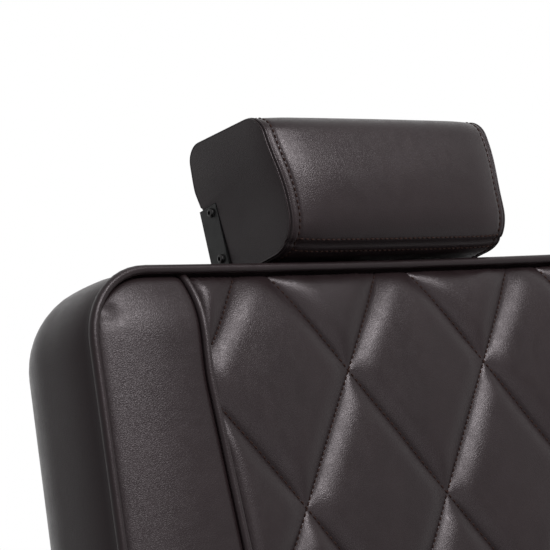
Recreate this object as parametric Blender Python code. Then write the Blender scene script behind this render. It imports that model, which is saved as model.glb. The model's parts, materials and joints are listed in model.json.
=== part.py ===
"""Hydraulic reclining barber chair, in metres, +Z up, facing -Y.

The origin is the centre of the base on the floor. The chair stands at its lowest height, upright, with the
headrest down and the foot plate out. Backrest and headrest pieces are modelled in the back's own frame:
X across, Y up along the back (v), Z out of its front towards the sitter (n), from the middle of its top edge.
"""

import math

import bmesh
import bpy
from mathutils import Matrix, Vector

# Fits
CLEARANCE = 0.0003  # between pieces that touch
RUNNING_FIT = 0.0005  # around pieces that turn or slide
SIDE_PLAY = 0.0006  # beside pieces that swing past each other
THROUGH = 0.010  # how far a cut runs past the piece that it opens
FLUSH_STEP = 0.0005  # keeps the faces of welded shapes out of one plane
LEAST_RADIUS = 0.002  # tightest corner of an inset outline
RIM_TOLERANCE = 0.0015  # how near a point of a sheet's rim lies to its outline
SLIVER = 0.0012  # points of a cut sheet closer than this are one

# Facets round the large turned pieces, one count so that rims stay parallel
ROUND_STEPS = 48

# Base and pump
BASE_RADIUS = 0.312
BASE_EDGE = 0.010
BOSS_RADIUS = 0.095
BOSS_HEIGHT = 0.034
BOSS_SKIRT = 0.030  # how far the boss's sloping foot spreads
CASTING_SLOPE = 0.006  # rise of the plate from its edge to the boss
DOME_WALL = 0.0025
DOME_SHOULDER = 0.027
DOME_SHOULDER_RADIUS = 0.018
DOME_WAIST = 0.155  # radius where the dome starts to rise to the pump
DOME_WAIST_RISE = 0.0125
DOME_SWEEP = 0.140
DOME_OVER_FLANGE = 0.005
DOME_FLOOR_GAP = 0.001
GASKET_WIDTH = 0.0065
GASKET_HEIGHT = 0.014
FLANGE_RADIUS = 0.080
FLANGE_THICKNESS = 0.012
JACKET_FILLET = 0.004
RAM_RADIUS = 0.030
JACKET_WALL = 0.015
JACKET_FLOOR = 0.026
PISTON_LENGTH = 0.019
BEARING_LENGTH = 0.0055
BEARING_BORE = 0.0135
BEARING_RADIUS = 0.027
LIFT_TRAVEL = 0.160
RAM_GUIDE = 0.040  # ram left inside the jacket at full height
GLAND_HEIGHT = 0.012
GLAND_OVERHANG = 0.004
GLAND_CHAMFER = 0.003
PEDAL_REACH = 0.300  # pivot to the pad's middle
PEDAL_RISE = 0.075
PEDAL_LOW_KNEE = 0.105  # pivot to the first bend, along the floor
PEDAL_LOW_RISE = 0.019
PEDAL_HIGH_KNEE = 0.225
PEDAL_BEND = 0.080
PEDAL_WIDTH = 0.022
PEDAL_THICKNESS = 0.012
PEDAL_PIVOT_OUT = 0.030  # beyond the jacket's wall
PEDAL_PIVOT_UP = 0.034  # above the jacket's flange
PEDAL_PIN_RADIUS = 0.006
PEDAL_EAR = 0.008
PEDAL_EYE = 0.0128
PEDAL_EAR_ROOT = 0.016
PEDAL_PIN_PROUD = 0.004
PAD_LENGTH = 0.075
PAD_WIDTH = 0.085
PAD_THICKNESS = 0.012
PAD_CORNER = 0.012
PAD_DOME = 0.0036
PAD_DOME_RUN = 0.020

# Seat support and frame
HUB_LENGTH = 0.012
HUB_WALL = 0.020
HUB_GAP = 0.003  # above the gland when the chair is down
SLEEVE_GAP = 0.007  # around the gland
SLEEVE_WALL = 0.002
MOUNT_SIDE = 0.220
MOUNT_THICKNESS = 0.010
MOUNT_CORNER = 0.020
RAIL_HEIGHT = 0.040
RAIL_WIDTH = 0.030
RAIL_INNER = 0.199  # chair's middle to a rail's inner face
RAIL_FRONT = -0.250
RAIL_REAR = 0.262
CROSS_WIDTH = 0.040
CROSS_OFFSET = 0.085
TUBE_WALL = 0.003

# Recline hinge and lock
RECLINE = math.radians(20)  # backrest's lean from upright as it stands
RECLINE_RANGE = math.radians(45)
PIVOT_Y = 0.268
LOCK_RADIUS = 0.070  # hinge axis to the lock rod's line
HINGE_PLATE = 0.008
HINGE_WELD = 0.002  # the plate's bite into the rail's wall
HINGE_EYE = 0.024
HINGE_FOOT = 0.030  # the plate's foot ahead of the rail's rear end
HINGE_BOLT_RADIUS = 0.006
BOLT_HEAD_RADIUS = 0.010
BOLT_HEAD = 0.007
HEAD_OVER_SHANK = 0.001
ARM_PLATE = 0.006
ARM_DEPTH = 0.040
ARM_FLANGE = 0.036
ARM_EYE = 0.020
ARM_FOOT = 0.010  # the angle's lower end inside the cushion
CROSSBAR_RADIUS = 0.012
CROSSBAR_ABOVE_PIVOT = 0.026
LEVER_PLATE = 0.008
LEVER_ROOT_RADIUS = 0.018
LEVER_END_RADIUS = 0.014
LOCK_PIN_RADIUS = 0.004
SLOT_PLAY = 0.0009  # lets the pin's straight line meet the lever's arc
ROD_RADIUS = 0.005
CYLINDER_RADIUS = 0.014
CYLINDER_WALL_END = 0.012
CYLINDER_END_GAP = 0.004  # left behind the rod at the end of its stroke
CYLINDER_FLANGE_HALF = 0.030
CYLINDER_FLANGE_RISE = 0.018
CYLINDER_FLANGE = 0.006
FORK_CHEEK = 0.005
FORK_REACH = 0.022
FORK_BASE = 0.010
FORK_PIN_INSET = 0.001

# Release lever
LEVER_Y = 0.215
LEVER_SHAFT_RADIUS = 0.007
LEVER_LENGTH = 0.150
LEVER_DROP = 0.030
LEVER_BAR = 0.008
LEVER_HEIGHT = 0.018
LEVER_KNEE = 0.0525
LEVER_BEND = 0.030
LEVER_EYE = 0.0135
FINGER_GAP = 0.006
FINGER_LENGTH = 0.020
FINGER_ROOT = 0.010
FINGER_TIP = 0.005
FINGER_WIDTH = 0.008
GRIP_RADIUS = 0.013
GRIP_LENGTH = 0.095
GRIP_END = 0.008

# Seat cushion
BOARD = 0.015
BOARD_INSET = 0.012
SEAT_HALF_FRONT = 0.280
SEAT_HALF_REAR = 0.274
SEAT_FRONT = -0.290
SEAT_REAR = 0.222
SEAT_CORNER_FRONT = 0.060
SEAT_CORNER_REAR = 0.040
SEAT_FOAM = 0.090
SEAT_BULGE = 0.004
SEAT_TUCK = 0.006

# Upholstery shared by seat and backrest
FOAM_INSET = 0.001  # foam's top edge inside the welt's line
WELT_SPACING = 0.045  # between the points of a welt's straight stretches
WELT_RADIUS = 0.0035
CELL_WIDTH = 0.139
CELL_HEIGHT = 0.199
CELL_STEPS = 4
INNER_SEAM = 0.199  # chair's middle to the welt between quilting and side strip
PAD_CROWN = 0.013
PAD_ROLL = 0.050  # how far in from the edge the crown takes to rise
PILLOW = 0.013
SEAM_FLOOR = 0.004  # the inner seams' height over the cushion's edge
SEAM_SEAT = 0.0045  # half the width that the cord lies in
SEAM_ROLL = 0.022
PAD_EDGE = 0.005
ROLL_LINE = 0.016  # where the edge's roll gets its own row of facets
SEWN_ANGLE = 20.0  # degrees of fold that show as a sewn line

# Arms
ARM_X = 0.2905
ARM_THICKNESS = 0.012
ARM_BAR = 0.036
ARM_CORNER = 0.040
ARM_TOP = 0.330  # above the rails' underside
ARM_BOTTOM = 0.006  # above the rails' underside
ARM_FOOT_FRONT = 0.065  # the loop's lower corners beyond its lugs
ARM_FOOT_REAR = 0.055
ARM_LUG = 0.010
ARM_LUG_WIDTH = 0.040
ARM_LUG_FRONT = -0.140
ARM_LUG_REAR = 0.110
ARM_PAD_WIDTH = 0.090
ARM_PAD_HEIGHT = 0.052
ARM_PAD_FRONT = -0.245
ARM_PAD_REAR = 0.215
ARM_PAD_CORNER = 0.032
ARM_PAD_CROWN = 0.008
ARM_PAD_BULGE = 0.003
ARM_PAD_TUCK = 0.005
ARM_PAD_OVERHANG = 0.010

# Footrest
STRUT_THICKNESS = 0.028
STRUT_CAP = 0.004
STRUT_BEND_Y = -0.315
STRUT_FOOT_Y = -0.455
STRUT_FOOT_Z = 0.125
STRUT_BEND_RADIUS = 0.045
AXLE_FORWARD = 0.027  # axle ahead of the strut's lower bend
AXLE_DROP = 0.009
AXLE_RADIUS = 0.008
AXLE_PROUD = 0.004
STRUT_TOE = 0.0128  # the strut's end ahead of the axle
STRUT_TOE_DROP = 0.0027
BARREL_WALL = 0.005
FOOT_PLATE_LENGTH = 0.165
FOOT_PLATE_THICKNESS = 0.006
FOOT_PLATE_TILT = math.radians(12)
FOOT_SIDE_GAP = 0.008
FOOT_LIP = 0.018
FOOT_PLATE_SET = 0.001  # plate's top below the top of its barrel
TREAD_THICKNESS = 0.003
TREAD_RIB = 0.003
TREAD_RIBS = 9
TREAD_FLANK = 0.0030
TREAD_CREST = 0.0061
TREAD_MARGIN = 0.014
CALF_BOARD = 0.012
CALF_BOARD_INSET = 0.006
CALF_SIDE_INSET = 0.004
CALF_BULGE = 0.003
CALF_LENGTH = 0.150
CALF_CORNER = 0.030
CALF_DOWN = 0.098  # from the strut's upper bend to the middle of the calf pad
CALF_FOAM = 0.034
CALF_CROWN = 0.008

# Backrest, in its own frame
BACK_LENGTH = 0.580
BACK_HALF_TOP = 0.290
BACK_HALF_WIDEST = 0.317
BACK_WIDEST_V = -0.330
BACK_HALF_BOTTOM = 0.298
BACK_CORNER_TOP = 0.040
BACK_CORNER_BOTTOM = 0.060
BACK_WAIST_RADIUS = 0.500
BACK_BOW = 0.008  # the sides come forward by this much at the half width of the top
BACK_FOAM = 0.0757
BACK_SIDE_BULGE = 0.007
BACK_BOARD = 0.012
BACK_BOARD_INSET = 0.006
BACK_COVER = 0.018
BACK_COVER_PROUD = 0.0028
BACK_ROUNDING = 0.045
PIVOT_BELOW_BACK = 0.052
PIVOT_DEPTH = 0.060  # behind the front face
ARM_LENGTH_IN_BACK = 0.300
QUILT_TOP = 0.082  # top welt to the first row of crossings
POCKET_OPEN = 0.002  # how far the foam's pockets run past its rear

# Headrest, in the back's frame
HEAD_TRAVEL = 0.075
HEAD_HALF = 0.1106
HEAD_BOTTOM = 0.0100
HEAD_TOP = 0.1175
HEAD_FRONT = 0.0232
HEAD_REAR = -0.0760
HEAD_CROWN = 0.007
HEAD_CROWN_RUN = 0.030
HEAD_CHIN_BACK = 0.009
HEAD_CHIN_RADIUS = 0.008
HEAD_BELLY_UP = 0.028
HEAD_BELLY_RADIUS = 0.035
HEAD_BROW_BACK = 0.016
HEAD_BROW_DOWN = 0.004
HEAD_BROW_RADIUS = 0.012
HEAD_CREST_UP = 0.002
HEAD_CREST_RADIUS = 0.014
HEAD_MIDDLE = -0.0304  # depth that the crown swells out from
BRACKET_SHEET = 0.002
BRACKET_DEPTH = 0.021
BRACKET_HEIGHT = 0.058
BRACKET_BOTTOM = 0.012
BRACKET_REAR = -0.0745
SCREW_RADIUS = 0.00175
SCREW_HEAD_RADIUS = 0.0036
SCREW_HEAD = 0.0024
SCREW_LENGTH = 0.016
SCREW_SPACING = 0.037
SCREW_FROM_TOP = 0.0056
SCREW_FROM_REAR = 0.0145
POST_WIDTH = 0.040
POST_THICKNESS = 0.008
POST_LENGTH = 0.222
POST_NOTCHES = 6
POST_NOTCH = 0.004
POST_FIRST_NOTCH = 0.030
SOCKET_WALL = 0.003
SOCKET_PLAY = 0.0005
SOCKET_LENGTH = 0.250
COLLAR_THICKNESS = 0.003
COLLAR_RIM = 0.005

# Heights worked out from the sizes above
FLANGE_Z = BOSS_HEIGHT + CLEARANCE
JACKET_BORE = RAM_RADIUS + 2 * RUNNING_FIT
JACKET_RADIUS = JACKET_BORE + JACKET_WALL
BORE_Z = FLANGE_Z + JACKET_FLOOR
RAM_Z = BORE_Z + PISTON_LENGTH + BEARING_LENGTH + 3 * CLEARANCE
JACKET_TOP = RAM_Z + LIFT_TRAVEL + RAM_GUIDE
GLAND_TOP = JACKET_TOP + CLEARANCE + GLAND_HEIGHT
GLAND_RADIUS = JACKET_RADIUS + GLAND_OVERHANG
HUB_Z = GLAND_TOP + HUB_GAP
MOUNT_Z = HUB_Z + HUB_LENGTH
FRAME_Z = MOUNT_Z + MOUNT_THICKNESS + CLEARANCE
RAIL_MIDDLE = FRAME_Z + RAIL_HEIGHT / 2
BOARD_Z = FRAME_Z + RAIL_HEIGHT + CLEARANCE
FOAM_Z = BOARD_Z + BOARD + CLEARANCE
SEAT_PAD_Z = FOAM_Z + SEAT_FOAM + CLEARANCE
PIVOT_Z = RAIL_MIDDLE + LOCK_RADIUS
RAIL_OUTER = RAIL_INNER + RAIL_WIDTH
PEDAL_PIVOT = (JACKET_RADIUS + PEDAL_PIVOT_OUT, FLANGE_Z + FLANGE_THICKNESS + PEDAL_PIVOT_UP)

# Layers of the backrest behind its front edge, as n
PAD_BASE = -WELT_RADIUS - CLEARANCE
FOAM_FRONT = PAD_BASE - CLEARANCE
FOAM_REAR = FOAM_FRONT - BACK_FOAM
BACK_BOARD_FRONT = FOAM_REAR - CLEARANCE
COVER_FRONT = BACK_BOARD_FRONT - BACK_BOARD - CLEARANCE
PIVOT_V = -BACK_LENGTH - PIVOT_BELOW_BACK
BACK_ORIGIN = Vector((0.0, -PIVOT_V, PIVOT_DEPTH))  # from the hinge axis, in the back's frame
HINGE_INNER = RAIL_INNER + HINGE_WELD - HINGE_PLATE
HINGE_OUTER = RAIL_INNER + HINGE_WELD
ARM_OUTER = HINGE_INNER - RUNNING_FIT
POST_FRONT = BRACKET_REAR + BRACKET_SHEET + CLEARANCE + POST_THICKNESS


def clear_scene():
    """Start from an empty scene."""
    for item in list(bpy.data.objects):
        bpy.data.objects.remove(item, do_unlink=True)


def make_material(name, colour, roughness, metallic=0.0):
    """A Principled material of one colour."""
    material = bpy.data.materials.new(name)
    material.use_nodes = True
    shader = material.node_tree.nodes["Principled BSDF"]
    shader.inputs["Base Color"].default_value = (*colour, 1.0)
    shader.inputs["Roughness"].default_value = roughness
    shader.inputs["Metallic"].default_value = metallic
    material.diffuse_color = (*colour, 1.0)
    return material


def make_materials():
    """The chair's finishes."""
    return {
        "leather": make_material("brown_leather", (0.036, 0.027, 0.026), 0.42),
        "foam": make_material("foam_under_leather", (0.034, 0.026, 0.025), 0.5),
        "steel": make_material("black_powder_coat", (0.018, 0.018, 0.019), 0.45, 0.3),
        "chrome": make_material("chrome", (0.75, 0.75, 0.76), 0.1, 1.0),
        "iron": make_material("cast_iron", (0.05, 0.05, 0.052), 0.6, 0.8),
        "rubber": make_material("black_rubber", (0.012, 0.012, 0.012), 0.8),
        "wood": make_material("plywood", (0.42, 0.29, 0.17), 0.7),
        "screw": make_material("blackened_screw", (0.022, 0.021, 0.021), 0.4, 0.7),
    }


def make_empty(name, parent=None, location=(0.0, 0.0, 0.0), turn_x=0.0):
    """A joint's frame, on its axis."""
    frame = bpy.data.objects.new(name, None)
    bpy.context.scene.collection.objects.link(frame)
    frame.parent = parent
    frame.location = location
    frame.rotation_euler = (turn_x, 0.0, 0.0)
    return frame


def add_mesh(name, bm, material, parent, location=(0.0, 0.0, 0.0), sharp=35.0):
    """Put a finished shape in the scene as one sub-part."""
    bmesh.ops.recalc_face_normals(bm, faces=bm.faces)
    mesh = bpy.data.meshes.new(name)
    bm.to_mesh(mesh)
    bm.free()
    mesh.materials.append(material)
    mesh.shade_smooth()
    mesh.set_sharp_from_angle(angle=math.radians(sharp))
    piece = bpy.data.objects.new(name, mesh)
    bpy.context.scene.collection.objects.link(piece)
    piece.parent = parent
    piece.location = location
    return piece


def combine(target, bm, operation="DIFFERENCE"):
    """Cut a shape out of a sub-part, or join it on, in the sub-part's own frame."""
    name = f"{target.name}_{operation.lower()}_{len(target.modifiers)}"
    tool = add_mesh(name, bm, target.data.materials[0], target.parent, target.location)
    tool.hide_render = True
    tool.display_type = "WIRE"
    step = target.modifiers.new(name, "BOOLEAN")
    step.operation = operation
    step.object = tool
    step.solver = "EXACT"


def polar(radius, angle, centre=(0.0, 0.0)):
    """A point on a circle."""
    return (centre[0] + radius * math.cos(angle), centre[1] + radius * math.sin(angle))


def rounded(corners, steps=5, closed=True):
    """Round each (a, b, radius) corner of an outline or open path with an arc."""
    points = []
    count = len(corners)
    for index, (a, b, radius) in enumerate(corners):
        here = Vector((a, b))
        is_end = not closed and index in (0, count - 1)
        if radius <= 0.0 or is_end:
            points.append((a, b))
            continue
        before = (Vector(corners[index - 1][:2]) - here).normalized()
        after = (Vector(corners[(index + 1) % count][:2]) - here).normalized()
        half = before.angle(after) / 2
        centre = here + (before + after).normalized() * (radius / math.sin(half))
        first = here + before * (radius / math.tan(half)) - centre
        turn = first.angle_signed(here + after * (radius / math.tan(half)) - centre)
        start = math.atan2(first.y, first.x)
        for step in range(steps + 1):
            points.append(polar(radius, start - turn * step / steps, centre))
    return points


def inset(corners, distance):
    """Move a counter-clockwise outline's edges inwards, with its corner radii to match."""
    moved = []
    count = len(corners)
    for index, (a, b, radius) in enumerate(corners):
        here = Vector((a, b))
        along_in = (here - Vector(corners[index - 1][:2])).normalized()
        along_out = (Vector(corners[(index + 1) % count][:2]) - here).normalized()
        normal_in = Vector((-along_in.y, along_in.x))
        normal_out = Vector((-along_out.y, along_out.x))
        middle = (normal_in + normal_out).normalized()
        point = here + middle * (distance / middle.dot(normal_in))
        moved.append((point.x, point.y, max(radius - distance, LEAST_RADIUS)))
    return moved


def capsule(start, end, radius_start, radius_end, steps=8):
    """Outline of two circles and the straight sides between them."""
    way = Vector(end) - Vector(start)
    lean = math.asin((radius_start - radius_end) / way.length)
    heading = math.atan2(way.y, way.x)
    points = []
    for step in range(steps + 1):
        angle = heading - math.pi / 2 + lean + (math.pi - 2 * lean) * step / steps
        points.append(polar(radius_end, angle, end))
    for step in range(steps + 1):
        angle = heading + math.pi / 2 - lean + (math.pi + 2 * lean) * step / steps
        points.append(polar(radius_start, angle, start))
    return points


def bent_bar(path, thickness, steps=5):
    """Outline of a bar of even thickness along an open path of (a, b, radius) corners."""
    middle = [Vector(point) for point in rounded(path, steps, closed=False)]
    left = []
    right = []
    for index, point in enumerate(middle):
        before = middle[max(index - 1, 0)]
        after = middle[min(index + 1, len(middle) - 1)]
        along = (after - before).normalized()
        normal = Vector((-along.y, along.x)) * (thickness / 2)
        left.append(tuple(point + normal))
        right.append(tuple(point - normal))
    return left + right[::-1]


def circle(radius, centre=(0.0, 0.0), steps=24):
    """A round outline."""
    return [polar(radius, 2 * math.pi * step / steps, centre) for step in range(steps)]


def rectangle(a_low, a_high, b_low, b_high):
    """A four-cornered outline."""
    return [(a_low, b_low), (a_high, b_low), (a_high, b_high), (a_low, b_high)]


def prism(outline, start, end, axis):
    """Extrude an outline along X, with (y, z) points, along Y, with (x, z), or along Z, with (x, y)."""
    place = {
        "X": lambda a, b: (start, a, b),
        "Y": lambda a, b: (a, start, b),
        "Z": lambda a, b: (a, b, start),
    }[axis]
    way = {"X": (end - start, 0, 0), "Y": (0, end - start, 0), "Z": (0, 0, end - start)}[axis]
    bm = bmesh.new()
    face = bm.faces.new([bm.verts.new(place(a, b)) for a, b in outline])
    grown = bmesh.ops.extrude_face_region(bm, geom=[face])["geom"]
    moved = [item for item in grown if isinstance(item, bmesh.types.BMVert)]
    bmesh.ops.translate(bm, verts=moved, vec=way)
    return bm


def box(x, y, z):
    """A block from (low, high) pairs."""
    return prism(rectangle(*x, *y), z[0], z[1], "Z")


def rod(axis, centre, radius, start, end, steps=24):
    """A round bar along an axis, centred on the other two coordinates."""
    return prism(circle(radius, centre, steps), start, end, axis)


def turned(profile, steps=ROUND_STEPS):
    """Spin a (radius, height) profile about Z: a ring, or a solid if it starts and ends on the axis."""
    bm = bmesh.new()
    points = [bm.verts.new((radius, 0.0, height)) for radius, height in profile]
    pairs = list(zip(points, points[1:]))
    if profile[0][0] > 0.0:
        pairs.append((points[-1], points[0]))
    edges = [bm.edges.new(pair) for pair in pairs]
    bmesh.ops.spin(
        bm, geom=points + edges, cent=(0, 0, 0), axis=(0, 0, 1), angle=2 * math.pi, steps=steps
    )
    bmesh.ops.remove_doubles(bm, verts=bm.verts, dist=1e-6)
    return bm


def quarter(value):
    """Rise of a quarter circle from 0 to 1."""
    return math.sqrt(1.0 - (1.0 - min(max(value, 0.0), 1.0)) ** 2)


def clip_to_outline(bm, outline):
    """Cut a flat sheet to a convex counter-clockwise outline."""
    for index, point in enumerate(outline):
        after = Vector(outline[(index + 1) % len(outline)])
        along = after - Vector(point)
        bmesh.ops.bisect_plane(
            bm,
            geom=[*bm.verts, *bm.edges, *bm.faces],
            dist=1e-6,
            plane_co=(*point, 0.0),
            plane_no=(along.y, -along.x, 0.0),
            clear_outer=True,
        )
    bmesh.ops.remove_doubles(bm, verts=bm.verts, dist=SLIVER)


def edge_distance(u, v, outline):
    """How far a point lies inside a convex counter-clockwise outline."""
    nearest = math.inf
    for index, point in enumerate(outline):
        after = outline[(index + 1) % len(outline)]
        along = Vector((after[0] - point[0], after[1] - point[1])).normalized()
        nearest = min(nearest, along.x * (v - point[1]) - along.y * (u - point[0]))
    return nearest


def strip_sheet(outline, columns, rows):
    """A flat sheet of even rectangles, cut to an outline."""
    low_u = min(point[0] for point in outline)
    high_u = max(point[0] for point in outline)
    low_v = min(point[1] for point in outline)
    high_v = max(point[1] for point in outline)
    bm = bmesh.new()
    spread = Matrix.Diagonal((high_u - low_u, high_v - low_v, 1.0, 1.0))
    middle = Matrix.Translation(((low_u + high_u) / 2, (low_v + high_v) / 2, 0.0))
    bmesh.ops.create_grid(bm, x_segments=columns, y_segments=rows, size=0.5, matrix=middle @ spread)
    clip_to_outline(bm, outline)
    return bm


def quilt_cells(u, v, first_row):
    """Position in the quilting's two diagonal directions, whole numbers on the sewn lines."""
    across = u / CELL_WIDTH + 0.5
    along = (v - first_row) / CELL_HEIGHT
    return across + along, across - along


def split_sheet(bm, point, normal):
    """Put a straight row of edges across a sheet."""
    everything = [*bm.verts, *bm.edges, *bm.faces]
    bmesh.ops.bisect_plane(bm, geom=everything, dist=1e-6, plane_co=(*point, 0.0), plane_no=(*normal, 0.0))


def quilt_sheet(corners, outline, first_row):
    """A flat sheet that follows the sewn diamonds, cut to an outline and along its seams and rolled edge."""
    cells = [quilt_cells(u, v, first_row) for u, v in outline]
    low = [math.floor(min(cell[axis] for cell in cells)) for axis in (0, 1)]
    high = [math.ceil(max(cell[axis] for cell in cells)) for axis in (0, 1)]
    bm = bmesh.new()
    grid = {}
    for p in range(low[0] * CELL_STEPS, high[0] * CELL_STEPS + 1):
        for q in range(low[1] * CELL_STEPS, high[1] * CELL_STEPS + 1):
            u = CELL_WIDTH * ((p + q) / CELL_STEPS - 1) / 2
            v = first_row + CELL_HEIGHT * (p - q) / CELL_STEPS / 2
            grid[p, q] = bm.verts.new((u, v, 0.0))
    for p, q in grid:
        ring = [(p, q), (p + 1, q), (p + 1, q + 1), (p, q + 1)]
        if all(corner in grid for corner in ring):
            bm.faces.new([grid[corner] for corner in ring])
    for side in (-1, 1):
        for flank in (-SEAM_SEAT, SEAM_SEAT):
            split_sheet(bm, (side * INNER_SEAM + flank, 0.0), (1.0, 0.0))
    roll = inset(corners, ROLL_LINE)
    for index, corner in enumerate(roll):
        along = Vector(roll[(index + 1) % len(roll)][:2]) - Vector(corner[:2])
        split_sheet(bm, corner[:2], (along.y, -along.x))
    clip_to_outline(bm, outline)
    return bm


def boundary_loop(bm):
    """Edges of a sheet's open rim."""
    return [edge for edge in bm.edges if edge.is_boundary]


def rim_normals(outline, points):
    """Outward direction of a convex outline at each rim point."""
    normals = {}
    for point in points:
        total = Vector((0.0, 0.0))
        for index, start in enumerate(outline):
            end = outline[(index + 1) % len(outline)]
            along = (Vector(end) - Vector(start)).normalized()
            off = along.x * (point.co.y - start[1]) - along.y * (point.co.x - start[0])
            ahead = along.dot(Vector((point.co.x - start[0], point.co.y - start[1])))
            beside = -RIM_TOLERANCE < ahead < (Vector(end) - Vector(start)).length + RIM_TOLERANCE
            if off < RIM_TOLERANCE and beside:
                total += Vector((along.y, -along.x))
        normals[point] = total.normalized()
    return normals


def close_sheet(bm, outline, sections):
    """Draw a sheet's rim through (n, outward) sections and close it flat behind."""
    edges = boundary_loop(bm)
    rim = {point for edge in edges for point in edge.verts}
    flat = {point: point.co.xy.copy() for point in rim}
    normals = rim_normals(outline, rim)
    for n, outward in sections:
        grown = bmesh.ops.extrude_edge_only(bm, edges=edges)["geom"]
        edges = [item for item in grown if isinstance(item, bmesh.types.BMEdge)]
        fresh = [item for item in grown if isinstance(item, bmesh.types.BMVert)]
        old = {point: min(flat, key=lambda other: (other.co - point.co).length) for point in fresh}
        flat = {point: flat[source] for point, source in old.items()}
        normals = {point: normals[source] for point, source in old.items()}
        for point in fresh:
            place = flat[point] + normals[point] * outward
            point.co = (place.x, place.y, n)
        edges = [edge for edge in edges if edge.is_boundary]
    bmesh.ops.holes_fill(bm, edges=edges, sides=0)


def bow(bm, fade_to):
    """Bring the sides of a back cushion forward, less and less towards the flat board behind."""
    for point in bm.verts:
        depth = min(max((point.co.z - fade_to) / (FOAM_FRONT - fade_to), 0.0), 1.0)
        point.co.z += depth * bow_at(point.co.x)


def bow_at(u):
    """How far forward the back's face is at this distance from the middle."""
    return BACK_BOW * (u / BACK_HALF_TOP) ** 2


def quilted_pad(corners, first_row):
    """The sewn top of a cushion: quilted between the inner seams, plain and crowned beside them."""
    outline = rounded(corners, 6)
    bm = quilt_sheet(corners, outline, first_row)
    for point in bm.verts:
        u, v, _ = point.co
        inside = edge_distance(u, v, outline)
        crown = PAD_CROWN * quarter(inside / PAD_ROLL)
        floor = min(crown, SEAM_FLOOR)
        to_seam = max(abs(abs(u) - INNER_SEAM) - SEAM_SEAT, 0.0)
        rise = floor + (crown - floor) * quarter(to_seam / SEAM_ROLL)
        if abs(u) < INNER_SEAM:
            p, q = quilt_cells(u, v, first_row)
            puff = math.sqrt(abs(math.sin(math.pi * p) * math.sin(math.pi * q)))
            rise += PILLOW * puff * quarter(min(inside, to_seam) / SEAM_ROLL)
        point.co.z = PAD_BASE + PAD_EDGE + rise
    close_sheet(bm, outline, [(PAD_BASE, 0.0)])
    return bm


def add_welt(name, points, material, parent, location, cyclic):
    """A round piping cord along a path."""
    curve = bpy.data.curves.new(name, "CURVE")
    curve.dimensions = "3D"
    curve.bevel_depth = WELT_RADIUS
    curve.bevel_resolution = 1
    curve.use_fill_caps = True
    spline = curve.splines.new("POLY")
    spline.points.add(len(points) - 1)
    for point, place in zip(spline.points, points):
        point.co = (*place, 1.0)
    spline.use_cyclic_u = cyclic
    curve.materials.append(material)
    welt = bpy.data.objects.new(name, curve)
    bpy.context.scene.collection.objects.link(welt)
    welt.parent = parent
    welt.location = location


def seam_welt_path(side, low, high, forward):
    """Ends of the cord between the quilting and a side strip, lying in its seam."""
    u = side * INNER_SEAM
    n = PAD_BASE + PAD_EDGE + SEAM_FLOOR + WELT_RADIUS + CLEARANCE + forward
    return [(u, low, n), (u, high, n)]


def welt_ring(corners):
    """Points of the cord round a cushion's edge, close enough to follow its bow."""
    outline = rounded(corners, 6)
    ring = []
    for index, point in enumerate(outline):
        here = Vector(point)
        after = Vector(outline[(index + 1) % len(outline)])
        pieces = max(1, round((after - here).length / WELT_SPACING))
        ring += [tuple(here.lerp(after, step / pieces)) for step in range(pieces)]
    return ring


def build_base(finish, floor):
    """Cast floor plate, its spun dome and the rubber edging."""
    casting = [
        (0.0, 0.0),
        (BASE_RADIUS, 0.0),
        (BASE_RADIUS, BASE_EDGE),
        (BOSS_RADIUS + BOSS_SKIRT, BASE_EDGE + CASTING_SLOPE),
        (BOSS_RADIUS, BOSS_HEIGHT),
        (0.0, BOSS_HEIGHT),
    ]
    add_mesh("base_casting", turned(casting), finish["iron"], floor)

    rim = BASE_RADIUS + CLEARANCE + DOME_WALL / 2
    collar = FLANGE_RADIUS + CLEARANCE + DOME_WALL / 2
    dome = [
        (rim, DOME_FLOOR_GAP, 0.0),
        (rim, DOME_SHOULDER, DOME_SHOULDER_RADIUS),
        (DOME_WAIST, DOME_SHOULDER + DOME_WAIST_RISE, DOME_SWEEP),
        (collar, FLANGE_Z + FLANGE_THICKNESS + DOME_OVER_FLANGE, 0.0),
    ]
    add_mesh("base_dome", turned(bent_bar(dome, DOME_WALL, 4)), finish["steel"], floor)

    inside = rim + DOME_WALL / 2 + CLEARANCE
    gasket = [
        (inside, 0.0),
        (inside + GASKET_WIDTH, 0.0),
        (inside + GASKET_WIDTH, GASKET_HEIGHT * 0.6),
        (inside + GASKET_WIDTH * 0.6, GASKET_HEIGHT),
        (inside, GASKET_HEIGHT),
    ]
    add_mesh("base_gasket", turned(gasket), finish["rubber"], floor)


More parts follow.
